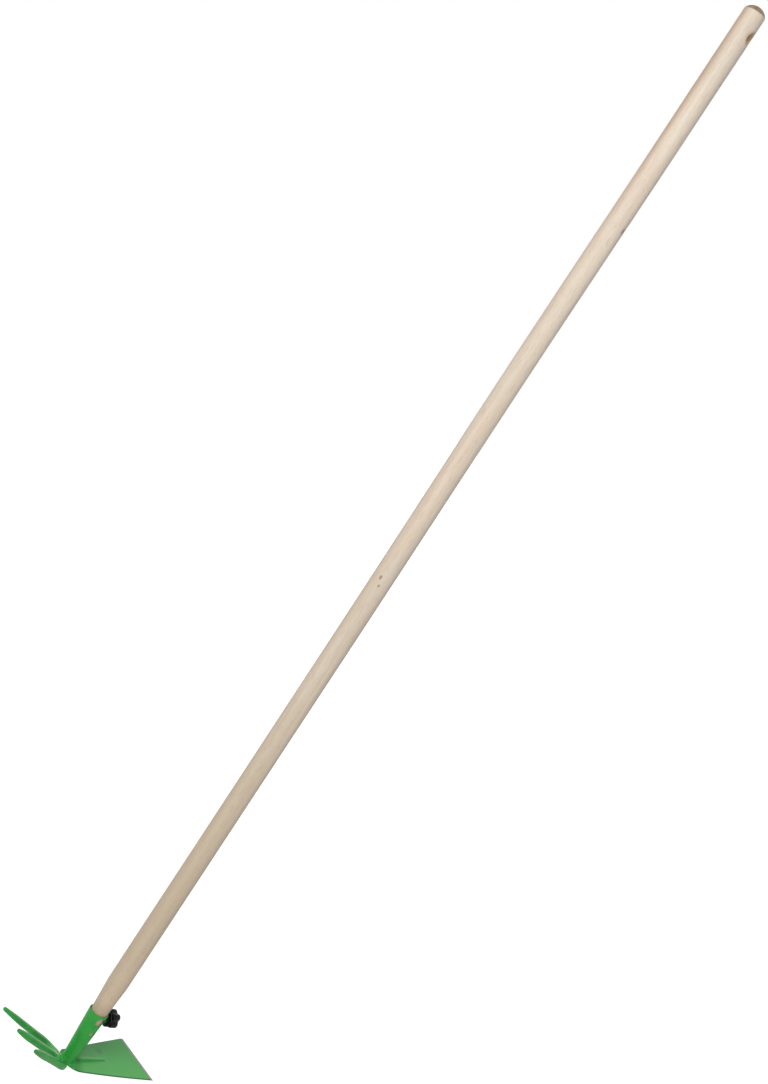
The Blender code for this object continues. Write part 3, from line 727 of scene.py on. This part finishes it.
def half_width(s, side):
    """From the blade's middle line to its border: a rounded tail, a squarer far shoulder, then long sides."""
    half = BLADE_SHOULDER_WIDTH / 2
    rise = BLADE_SHOULDER_REACH + BLADE_TAIL
    if s < BLADE_SHOULDER_REACH:
        if side > 0:
            radius = (half**2 + rise**2) / (2 * rise)
            below = radius - (s + BLADE_TAIL)
            return math.sqrt(max(radius**2 - below**2, 0.0))
        short = (BLADE_SHOULDER_REACH - s) / rise
        return half * max(0.0, 1 - short**FAR_SHOULDER_POWER) ** (1 / FAR_SHOULDER_POWER)
    # The long sides are slightly full, and the near one more so.
    share = (s - BLADE_SHOULDER_REACH) / (BLADE_REACH - BLADE_SHOULDER_REACH)
    swell = 0.5 * math.sin(math.pi * share) ** 2
    if side > 0:
        swell = 0.45 * min(1.0, share * 7) ** 0.7 + 0.6 * math.sin(math.pi * share)
    return half + (BLADE_EDGE_WIDTH / 2 - half) * share + swell * MM


def rib_height(x, s):
    """Pressed rib with a flat crest and steep flanks. It gets lower and narrower and ends short."""
    if not RIB_HEIGHTS[0][0] < s < RIB_REACH:
        return 0.0
    base = smooth_curve(RIB_BASES, s)
    crest = smooth_curve(RIB_CRESTS, s)
    flank = (base - abs(x)) / (base - crest)
    if flank <= 0:
        return 0.0
    flank = min(1.0, flank)
    dome = 0.94 + 0.06 * (1 - min(1.0, abs(x) / crest) ** 2)
    return smooth_curve(RIB_HEIGHTS, s) * flank * flank * (3 - 2 * flank) * dome


def blade_top(x, s):
    """Height of the top surface over the blade's plane, with the ground edge."""
    height = rib_height(x, s)
    into = s - (BLADE_REACH - EDGE_GRIND)
    if into > 0:
        height -= (BLADE_THICKNESS - EDGE_LAND) * into / EDGE_GRIND
    # A pressed plate is never quite flat.
    return height + 0.10 * MM * noise.noise(Vector((x * 45, s * 38, 3.1)))


def blade_stations():
    """Places along the blade: close together round its tail and on its ground edge."""
    tail = BLADE_SHOULDER_REACH + BLADE_TAIL
    stations = [-BLADE_TAIL + 0.02 * MM + tail * (1 - math.cos(math.pi / 2 * i / 25)) for i in range(26)]
    grind = BLADE_REACH - EDGE_GRIND
    return stations + steps_to(stations[-1], grind, 90) + steps_to(grind, BLADE_REACH, 8)


def blade_columns(far, near, edge):
    """Places across the blade: close together at its rounded borders and in the middle, on the rib."""
    columns = [-far + edge * t for t in BORDER_STEPS]
    for i in range(-HALF_COLUMNS, HALF_COLUMNS + 1):
        t = i / HALF_COLUMNS
        span = (near if t > 0 else far) - edge
        columns.append(span * (0.30 * t + 0.70 * t**3))
    return columns + [near - edge * t for t in reversed(BORDER_STEPS)]


def build_blade(material):
    bm = bmesh.new()
    tops, bottoms = [], []
    for s in blade_stations():
        far, near = half_width(s, -1), half_width(s, 1)
        edge = min(BLADE_BORDER, near * 0.3)
        bend = BEND_HEIGHT * max(0.0, (s - BEND_START) / (BLADE_REACH - BEND_START)) ** 2
        top_row, bottom_row = [], []
        for offset in blade_columns(far, near, edge):
            from_border = min(1.0, min(near - offset, offset + far) / edge)
            thin = BORDER_THINNING * (1 - math.sqrt(max(0.0, 1 - (1 - from_border) ** 2)))
            x = offset + BLADE_SHIFT
            under = -BLADE_THICKNESS + rib_height(x, s) * 0.86 + thin
            top = max(blade_top(x, s) - thin, under + 0.25 * MM)
            top_row.append(bm.verts.new((x, s, top + bend)))
            bottom_row.append(bm.verts.new((x, s, under + bend)))
        tops.append(top_row)
        bottoms.append(bottom_row)
    for a, b in zip(tops, tops[1:]):
        for i in range(len(a) - 1):
            bm.faces.new((a[i], a[i + 1], b[i + 1], b[i]))
    for a, b in zip(bottoms, bottoms[1:]):
        for i in range(len(a) - 1):
            bm.faces.new((a[i], b[i], b[i + 1], a[i + 1]))
    for border in (0, -1):
        for k in range(len(tops) - 1):
            bm.faces.new((tops[k][border], tops[k + 1][border], bottoms[k + 1][border], bottoms[k][border]))
    for end in (0, -1):
        for i in range(len(tops[0]) - 1):
            bm.faces.new((tops[end][i], tops[end][i + 1], bottoms[end][i + 1], bottoms[end][i]))
    for v in bm.verts:
        v.co = BLADE_FRAME @ v.co
    blade = mesh_object("hoe_blade", bm, material, 32)
    dress(blade, "blade", "head")


# Fork

# Weld lumps at the root of the bars: place in the fork's plane, radius, and rise over the bars, in mm.
WELD_LUMPS = [
    (-4.6, -5.2, 3.0, 1.5), (-7.6, -7.6, 3.2, 1.6), (-10.4, -10.6, 3.0, 1.4), (-2.2, -8.6, 3.0, 1.2),
    (-5.8, -11.4, 3.2, 1.3), (-9.0, -14.6, 3.0, 1.2), (1.4, -5.0, 2.8, 1.4), (4.6, -7.2, 3.0, 1.3),
    (3.0, -11.2, 2.6, 1.0), (7.8, -10.4, 2.8, 1.1), (-12.6, -16.8, 2.8, 1.0), (-15.4, -20.0, 2.6, 0.8),
    (5.6, -14.6, 3.4, 0.2), (8.8, -16.2, 3.2, 0.1), (6.6, -17.6, 3.0, -0.6), (-5.4, -16.6, 3.0, 0.2)]

# Each forged bar: side, reach, thickness, length of its point, and lift at its root and tip.
TINES = [
    (0, 105.9 * MM, TINE_THICKNESS, 27 * MM, -0.4 * MM, -0.4 * MM),
    (-1, 105.9 * MM, 6.7 * MM, 38 * MM, 0.7 * MM, 0.2 * MM),
    (1, 104.9 * MM, TINE_THICKNESS, 27 * MM, -0.2 * MM, 2.0 * MM),
]

# The smoothing of the joined bars draws their surface in by about this much, so they start fuller.
FORK_SWELL = 0.25 * MM

# A bar's rounded tip reaches this far past the end of its path.
TIP_REACH = TINE_TIP_WIDTH / 4


def bar_section(centre, ahead, width, thickness, steps=5):
    """Rounded rectangle across a bar."""
    across = Vector((ahead.y, -ahead.x, 0)).normalized()
    corner = 0.36 * thickness
    points = []
    for quarter in range(4):
        sa = 1 if quarter in (0, 3) else -1
        su = 1 if quarter in (0, 1) else -1
        for step in range(steps):
            angle = math.pi / 2 * (quarter + step / (steps - 1))
            a = sa * (width / 2 - corner) + corner * math.cos(angle)
            u = su * (thickness / 2 - corner) + corner * math.sin(angle)
            points.append(centre + across * a + Vector((0, 0, u)))
    return points


def tine(path, full_thickness, point_length, root_lift, tip_lift):
    """One forged bar: full section to its point length, then drawn down to a blunt rounded chisel."""
    root = path[0].copy()
    whole = (path[-1] - root).length
    path = [p + Vector((0, 0, root_lift + (tip_lift - root_lift) * (p - root).length / whole)) for p in path]
    tip = path[-1]
    rings = []
    for i, point in enumerate(path):
        before, after = path[max(i - 1, 0)], path[min(i + 1, len(path) - 1)]
        share = math.sin(math.pi / 2 * min((tip - point).length / point_length, 1.0))
        width = TINE_TIP_WIDTH + (TINE_WIDTH - TINE_TIP_WIDTH) * share + 2 * FORK_SWELL
        thickness = TINE_TIP_THICKNESS + (full_thickness - TINE_TIP_THICKNESS) * share + 2 * FORK_SWELL
        wobble = 0.12 * MM * noise.noise(Vector((point.x * 60, point.y * 60, 1.7)))
        rings.append(bar_section(point + Vector((0, 0, wobble)), after - before, width, thickness))
    forward = (path[-1] - path[-2]).normalized()
    for t in (0.35, 0.6, 0.8, 0.93, 1.0):
        shrink = math.sqrt(1 - (t * 0.93) ** 2)
        width = (TINE_TIP_WIDTH + 2 * FORK_SWELL) * shrink
        thickness = (TINE_TIP_THICKNESS + 2 * FORK_SWELL) * shrink
        rings.append(bar_section(tip + forward * TIP_REACH * t, forward, width, thickness))
    return rings


def bar_path(side, reach):
    """Straight for the middle bar. A side bar sweeps out along a quarter ellipse, then spreads a little."""
    length = reach - TIP_REACH
    if side == 0:
        run = FORK_ROOT_REACH + length
        return [Vector((0, FORK_ROOT_REACH - run * i / 50, 0)) for i in range(51)]
    bend = SHOULDER_LENGTH - SHOULDER_START
    path = []
    for i in range(24):
        angle = math.pi / 2 * i / 24
        path.append(Vector((side * SHOULDER_HALF_SPAN * math.sin(angle),
                            -(SHOULDER_START + bend * (1 - math.cos(angle))), 0)))
    for i in range(31):
        out = (length - SHOULDER_LENGTH) * i / 30
        across = SHOULDER_HALF_SPAN + 0.13 * out + 1.1 * out**2
        path.append(Vector((side * across, -(SHOULDER_LENGTH + out), 0)))
    return path


def build_fork(material):
    bm = bmesh.new()
    for side, reach, *shape in TINES:
        skin(bm, tine(bar_path(side, reach), *shape))
    half = TINE_THICKNESS / 2 - 0.3 * MM
    rounding = 1.8 * MM
    corner = HUB_DISC_RADIUS - rounding
    disc = [(0.3 * MM, -half), (corner - CORE, -half)] + arc((corner, -half + rounding), rounding, -90, 0, 5)
    disc += arc((corner, half - rounding), rounding, 0, 90, 5) + [(0.3 * MM, half)]
    skin(bm, [[p + Vector((0, -HUB_DISC_REACH, 0)) for p in ring(r, z, 64)] for r, z in disc])
    for x, y, radius, rise in WELD_LUMPS:
        lump = bmesh.ops.create_icosphere(bm, subdivisions=3, radius=radius * MM)
        for v in lump["verts"]:
            v.co = v.co + Vector((x * MM, y * MM, half + (rise - radius) * MM))
    for v in bm.verts:
        v.co = FORK_FRAME @ v.co
    fork = mesh_object("forged_fork", bm, material, 60)

    # One voxel remesh joins the bars, and smoothing gives the root its forged fillets.
    remesh = fork.modifiers.new("join", "REMESH")
    remesh.mode = "VOXEL"
    remesh.voxel_size = 0.55 * MM
    soften = fork.modifiers.new("soften", "SMOOTH")
    soften.factor = 0.6
    soften.iterations = 7
    apply_modifiers(fork, 60)

    # The root is cut to the socket's foot.
    low, high = FOOT - 30 * MM, FOOT + 40 * MM
    foot = socket_outside(FOOT) - 0.3 * MM
    profile = [(CORE, low), (foot, low), (foot, FOOT), (socket_outside(high), high), (CORE, high)]
    saddle = lathe("saddle_cutter", profile, 96)
    cut(fork, [saddle], 60)
    dress(fork, "fork", "head")


# Welds

RIPPLE_LENGTH = 1.7 * MM
NUT_WELD_RIPPLES = 34

# Beads reach this far into the piece they lie on.
WELD_SINK = 0.5 * MM


def fillet_weld(name, node, place, surface, start, end, leg, material, seed):
    """Rippled bead in the corner between the socket's foot and a plate."""
    up = place.to_3x3() @ Vector((0, 0, 1))
    origin = place @ Vector((0, 0, surface))
    steps, rows = 200, 8
    length = (end - start) * socket_outside(FOOT)

    def plate(out, radius):
        """Height of the plate, at a radius in a direction from the axis."""
        flat = out * radius
        return origin.z - (up.x * (flat.x - origin.x) + up.y * (flat.y - origin.y)) / up.z

    rings = []
    for i in range(steps + 1):
        t = i / steps
        turn = start + (end - start) * t
        out = polar(1, turn, 0)
        lump = 1.0 + 0.12 * noise.noise(Vector((turn * 2.3, seed, 0.4)))
        ends = max(0.04, min(1.0, math.sin(math.pi * t) ** 0.42 * 1.12))
        whole = leg * ends * lump
        base = socket_outside(plate(out, socket_outside(FOOT)))
        inner = base - WELD_SINK
        points = [out * inner + Vector((0, 0, plate(out, base) - WELD_SINK))]
        for k in range(rows + 1):
            a = math.pi / 2 * k / rows
            # Each ripple is a crescent, so it lies further along in the middle of the bead.
            phase = (t * length / RIPPLE_LENGTH + 0.55 * math.sin(2 * a)) % 1.0
            size = whole * (0.97 + 0.06 * math.sin(math.pi * phase))
            # Slightly convex fillet from the plate up to the wall.
            r = base + size * (1 - math.sin(a)) ** 0.9
            z = plate(out, r) + size * (1 - math.cos(a)) ** 0.9
            bulge = size * 0.16 * math.sin(2 * a)
            points.append(out * (r + bulge) + Vector((0, 0, z + bulge)))
        points.append(out * inner + Vector((0, 0, plate(out, base) + whole * 0.9)))
        rings.append(points)
    dress(solid(name, rings, material, 60), node, "head")


def hex_radius(across, turn):
    """From a hexagon's middle to its side, at a turn. One corner is at 0."""
    return across / 2 / math.cos(turn % (math.pi / 3) - math.pi / 6)


def wall(turn, radius):
    """Where the socket's outside lies along the clamp's axis, at a turn and a radius round it."""
    x = radius * math.cos(turn)
    z = CLAMP_Z - radius * math.sin(turn)
    r = socket_outside(min(z, MOUTH))
    return math.sqrt(max(r * r - x * x, (4 * MM) ** 2))


def build_nut_weld(material):
    """Rippled ring of weld between the nut and the tapered wall. It follows the nut's six sides."""
    steps, rows = 240, 6
    inset = 1.5 * MM
    rings = []
    place = clamp_place(0)
    for i, turn in enumerate(turns(steps)):
        corner = hex_radius(HEX_ACROSS_FLATS, turn) - 0.2 * MM
        phase = (i / steps * NUT_WELD_RIPPLES) % 1.0
        coin = 0.12 * MM * math.sqrt(max(0.0, 1 - (2 * phase - 1) ** 2))
        lump = 0.25 * MM * noise.noise(polar(1.4, turn, 2.0))
        out = polar(1, turn, 0)
        leg = 1.5 * MM + coin + lump
        foot = corner + leg * 0.95
        points = [out * (corner - inset) + Vector((0, 0, wall(turn, corner - inset) - 0.6 * MM)),
                  out * foot + Vector((0, 0, wall(turn, foot) - WELD_SINK))]
        top = max(NUT_SEAT + 1.5 * MM + coin, wall(turn, corner) + 1.2 * MM)
        for k in range(rows + 1):
            a = math.pi / 2 * k / rows
            r = corner + leg * 0.9 * (1 - math.sin(a)) ** 0.8
            h = wall(turn, r) + (top - wall(turn, corner)) * (1 - math.cos(a)) ** 0.9
            bulge = 0.22 * MM * math.sin(2 * a)
            points.append(out * (r + bulge) + Vector((0, 0, h + bulge)))
        points.append(out * (corner - inset) + Vector((0, 0, NUT_SEAT + 1.2 * MM)))
        rings.append([place @ p for p in points])
    dress(solid("nut_weld_bead", rings, material, 60, closed=True), "nut_weld", "head")


# Clamp

# How steeply the corners of a hexagon are turned off.
CHAMFER_SLOPE = 1.3

# Clearance of the bores in the nut and the grip.
BORE_CLEARANCE = 0.1 * MM


def hex_prism(name, across, low, high, chamfer, material=None, both=True):
    """Hexagon with its corners turned off at the upper end or at both, as on real nuts and screw heads."""
    corner = across / math.sqrt(3)
    rings = []
    for z in (low, low + chamfer * 0.5, low + chamfer, high - chamfer, high - chamfer * 0.5, high):
        limit = corner + 1 * MM
        if z > high - chamfer:
            limit = corner - (z - (high - chamfer)) * CHAMFER_SLOPE
        if both and z < low + chamfer:
            limit = corner - ((low + chamfer) - z) * CHAMFER_SLOPE
        rings.append([polar(min(hex_radius(across, turn), limit), turn, z) for turn in turns(72)])
    return solid(name, rings, material, 25)


def build_nut(material):
    nut = hex_prism("weld_nut", HEX_ACROSS_FLATS, 0, NUT_HEIGHT, 0.8 * MM, material, False)
    bore = SCREW_RADIUS + BORE_CLEARANCE
    lead = 0.8 * MM
    below, beyond = -2 * MM, NUT_HEIGHT + lead
    profile = [(CORE, below), (bore, below), (bore, NUT_HEIGHT - lead), (bore + 2 * lead, beyond),
               (CORE, beyond)]
    cutter = lathe("nut_drill", profile, 64)
    cut(nut, [cutter], 25)
    nut.data.transform(clamp_place(NUT_SEAT))
    dress(nut, "clamp_nut", "head")


def build_washer(material):
    inner, outer, top = SCREW_RADIUS + GAP, WASHER_RADIUS, WASHER_THICKNESS
    edge, round_off = 0.3 * MM, 0.1 * MM
    profile = [(inner + edge, 0), (outer - edge, 0), (outer - round_off, round_off), (outer, edge),
               (outer, top - edge), (outer - round_off, top - round_off), (outer - edge, top),
               (inner + edge, top), (inner, top - edge), (inner, edge)]
    washer = lathe("black_washer", profile, 72, material, 40, closed=True)
    washer.data.transform(clamp_place(WASHER_SEAT))
    dress(washer, "clamp_washer", "washer")


def build_screw(material):
    tip = handle_radius(CLAMP_Z + 2.6 * MM) + GAP
    length = KNOB_SEAT + KNOB_FLOOR - tip
    plain_shank, rows = 5 * MM, 220
    rings = []
    for row in range(rows + 1):
        z = length * row / rows
        points = []
        for turn in turns(40):
            cut_depth = 0.12 * MM
            if z < length - plain_shank:
                phase = (z / SCREW_PITCH - turn / (2 * math.pi)) % 1.0
                groove = (1 - abs(2 * phase - 1)) * 1.25 - 0.12
                cut_depth = 0.72 * MM * min(1.0, max(0.0, groove))
            radius = min(SCREW_RADIUS - cut_depth, 2.6 * MM + z * 0.9)
            points.append(polar(radius, turn, z))
        rings.append(points)
    shank = solid("screw_shank", rings, material, 40)
    head = hex_prism("hexagon_screw", HEX_ACROSS_FLATS, 0.1 * MM, 5.3 * MM, 0.4 * MM, material, False)
    dish, above = 5.0 * MM, 5.6 * MM
    recess = lathe("head_dish", [(CORE, dish), (3.6 * MM, dish), (4.4 * MM, above), (CORE, above)], 64)
    cut(head, [recess], 25)
    head.data.transform(clamp_place(KNOB_SEAT + KNOB_FLOOR))
    shank.data.transform(clamp_place(KNOB_SEAT + KNOB_FLOOR - length))
    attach(shank, "clamp")
    dress(head, "clamp_screw", "clamp")


def knob_ring(inset, z):
    """Outline of the star, drawn in by an inset."""
    points = []
    for turn in turns(240):
        swing = (1 - math.cos(KNOB_LOBES * (turn - KNOB_LOBE_ANGLE))) / 2
        radius = KNOB_RADIUS - KNOB_VALLEY * swing**1.4 - inset
        points.append(Vector((radius * math.cos(turn), -radius * math.sin(turn), z)))
    return points


def build_knob(material):
    """Star grip with rounded lobes, a parting line and a pocket for the screw's head."""
    round_off, steps = 1.9 * MM, 7
    top = KNOB_THICKNESS
    parting, parting_half, parting_rise = 5.4 * MM, 0.25 * MM, 0.09 * MM
    rings = [knob_ring(6.5 * MM, 0.0), knob_ring(round_off + 0.4 * MM, 0.0)]
    for k in range(1, steps + 1):
        a = math.pi / 2 * k / steps
        rings.append(knob_ring(round_off * (1 - math.sin(a)), round_off * (1 - math.cos(a))))
    rings.append(knob_ring(0, parting - parting_half))
    rings.append(knob_ring(-parting_rise, parting))
    rings.append(knob_ring(0, parting + parting_half))
    for k in range(steps + 1):
        a = math.pi / 2 * k / steps
        rings.append(knob_ring(round_off * (1 - math.cos(a)), top - round_off + round_off * math.sin(a)))
    rings.append(knob_ring(2.4 * MM, top - 0.02 * MM))
    knob = solid("star_grip", rings, material, 40)
    below, beyond = -2 * MM, top + 2 * MM
    cutters = [drill("bore_cutter", SCREW_RADIUS + BORE_CLEARANCE, below, beyond, 48),
               hex_prism("pocket_cutter", HEX_ACROSS_FLATS + 0.5 * MM, KNOB_FLOOR, beyond, 0.2 * MM)]
    cut(knob, cutters, 40, (0.25 * MM, 2, 60))
    knob.data.transform(clamp_place(KNOB_SEAT))
    dress(knob, "star_knob", "clamp")


# Stage, lights and camera

# The floor lies below the head, also where the head has come off the handle.
FLOOR = -1.62
FLOOR_SIZE = 30
WHITE = (1, 1, 1)
WORLD_COLOUR = (0.97, 0.985, 1.0)
WORLD_STRENGTH = 0.46

CAMERA_RIGHT = Vector((0.60569, 0.58039, 0.54433))
CAMERA_UP = Vector((-0.47872, -0.28064, 0.83191))
CAMERA_BACK = Vector((0.63559, -0.76445, 0.10786))
CAMERA_PLACE = Vector((1.15446, -1.4245, -0.51591))
CAMERA_LENS = 51.14

KEY_TARGET = Vector((0, 0, -0.7))
KEY_DIRECTION = Vector((0.36, -0.72, 0.60)).normalized()
KEY_DISTANCE = 3.6


def build_floor():
    """Seen directly or in a reflection the floor is white, and it keeps the object's soft shadow."""
    n = Material("white_floor")
    n.fill(n.shader, {"Base Color": (0.9, 0.9, 0.9), "Roughness": 0.9, "Specular IOR Level": 0.1})
    brightness = n.ramp(n.distance((0, 0, 0), (1, 1, 0)), 0.5, 2.4, 0.74, 1.0)
    glow = n.new("Emission", {"Color": WHITE, "Strength": brightness})
    shaded = n.new("BsdfDiffuse", {"Color": (0.55, 0.55, 0.55)})
    both = n.new("AddShader", {0: shaded.outputs[0], 1: glow.outputs[0]})
    n.show(n.shader, both, "Material Output")
    bm = bmesh.new()
    bmesh.ops.create_grid(bm, x_segments=1, y_segments=1, size=FLOOR_SIZE)
    floor = mesh_object("studio_floor", bm, n.owner)
    floor.location = (0, 0, FLOOR)


def build_world():
    """Plain pale light for the object, and white where the world is seen or reflected."""
    n = Nodes(bpy.data.worlds.new("studio"))
    pale = n.tree.nodes["Background"]
    n.fill(pale, {"Color": WORLD_COLOUR, "Strength": WORLD_STRENGTH})
    n.show(pale, n.new("Background", {"Color": WHITE, "Strength": 1.0}), "World Output")
    bpy.context.scene.world = n.owner


def build_camera():
    camera = bpy.data.cameras.new("photo_camera")
    camera.sensor_width = 36
    camera.lens = CAMERA_LENS
    camera.clip_end = 100
    obj = link("photo_camera", camera)
    place = Matrix((CAMERA_RIGHT, CAMERA_UP, CAMERA_BACK)).transposed().to_4x4()
    place.translation = CAMERA_PLACE
    obj.matrix_world = place
    bpy.context.scene.camera = obj


def build_key_light():
    """One soft key from above and to the left of the camera. The white room does the rest."""
    light = bpy.data.lights.new("key_light", "AREA")
    light.shape = "RECTANGLE"
    light.size = light.size_y = 1.5
    light.energy = 80
    light.color = (1.0, 0.99, 0.97)
    obj = link("key_light", light)
    obj.location = KEY_TARGET + KEY_DIRECTION * KEY_DISTANCE
    obj.rotation_euler = KEY_DIRECTION.to_track_quat("Z", "Y").to_euler()


def build_head():
    # Painted light: the socket's lower left is painted brighter where the fork shades it.
    low_left_light = ((-11 * MM, -6 * MM, FOOT + 14 * MM), (1, 1, 0.45), 19 * MM, (0.030, 0.42, 0.056))
    build_socket(paint_material("green_paint_socket", SOCKET_GREEN, 0.5, low_left_light))
    build_blade(blade_material())
    # Painted light: the fork's hub is painted brighter where the bars shade it; its weld lumps also get a
    # glossier finish.
    hub_light_and_gloss = ((-4 * MM, -17 * MM, FORK_ROOT + 6 * MM), (1, 1, 1), 20 * MM, (0.050, 0.430, 0.076))
    build_fork(paint_material("green_paint_fork", FORK_GREEN, 0.7, hub_light_and_gloss, 0.28))
    weld_paint = paint_material("green_paint_weld", WELD_GREEN, 0.4)
    fillet_weld("blade_weld_bead", "blade_weld", BLADE_FRAME, 0, math.radians(-18), math.radians(198),
                3.0 * MM, weld_paint, 3)
    down, spread = 1.5 * math.pi, math.radians(48)
    fillet_weld("fork_weld_bead", "fork_weld", FORK_FRAME, TINE_THICKNESS / 2, down - spread, down + spread,
                3.1 * MM, weld_paint, 8)
    # Painted shade: the nut and its weld are painted dark.
    build_nut_weld(paint_material("green_paint_nut_weld", NUT_WELD_SHADE_GREEN, 0.2, dusty=0.03, gloss=0.12))
    build_nut(paint_material("green_paint_nut", NUT_SHADE_GREEN, 0.2, dusty=0.02, gloss=0.08))


def build_clamp():
    # The washer is made black, partly as painted shade between the nut and the grip.
    build_washer(metal_material("black_oxide", (0.040, 0.040, 0.043), (0.022, 0.022, 0.024), (0.36, 0.5),
                                (0.10, 0.07, 0.05), 0.2))
    build_screw(metal_material("zinc_plate", (0.66, 0.67, 0.69), (0.48, 0.49, 0.51), (0.26, 0.40)))
    build_knob(plastic_material())


def main():
    build_camera()
    build_floor()
    build_world()
    build_key_light()
    build_handle(wood_material())
    build_head()
    build_clamp()


bpy.context.scene.view_settings.view_transform = "Standard"
main()
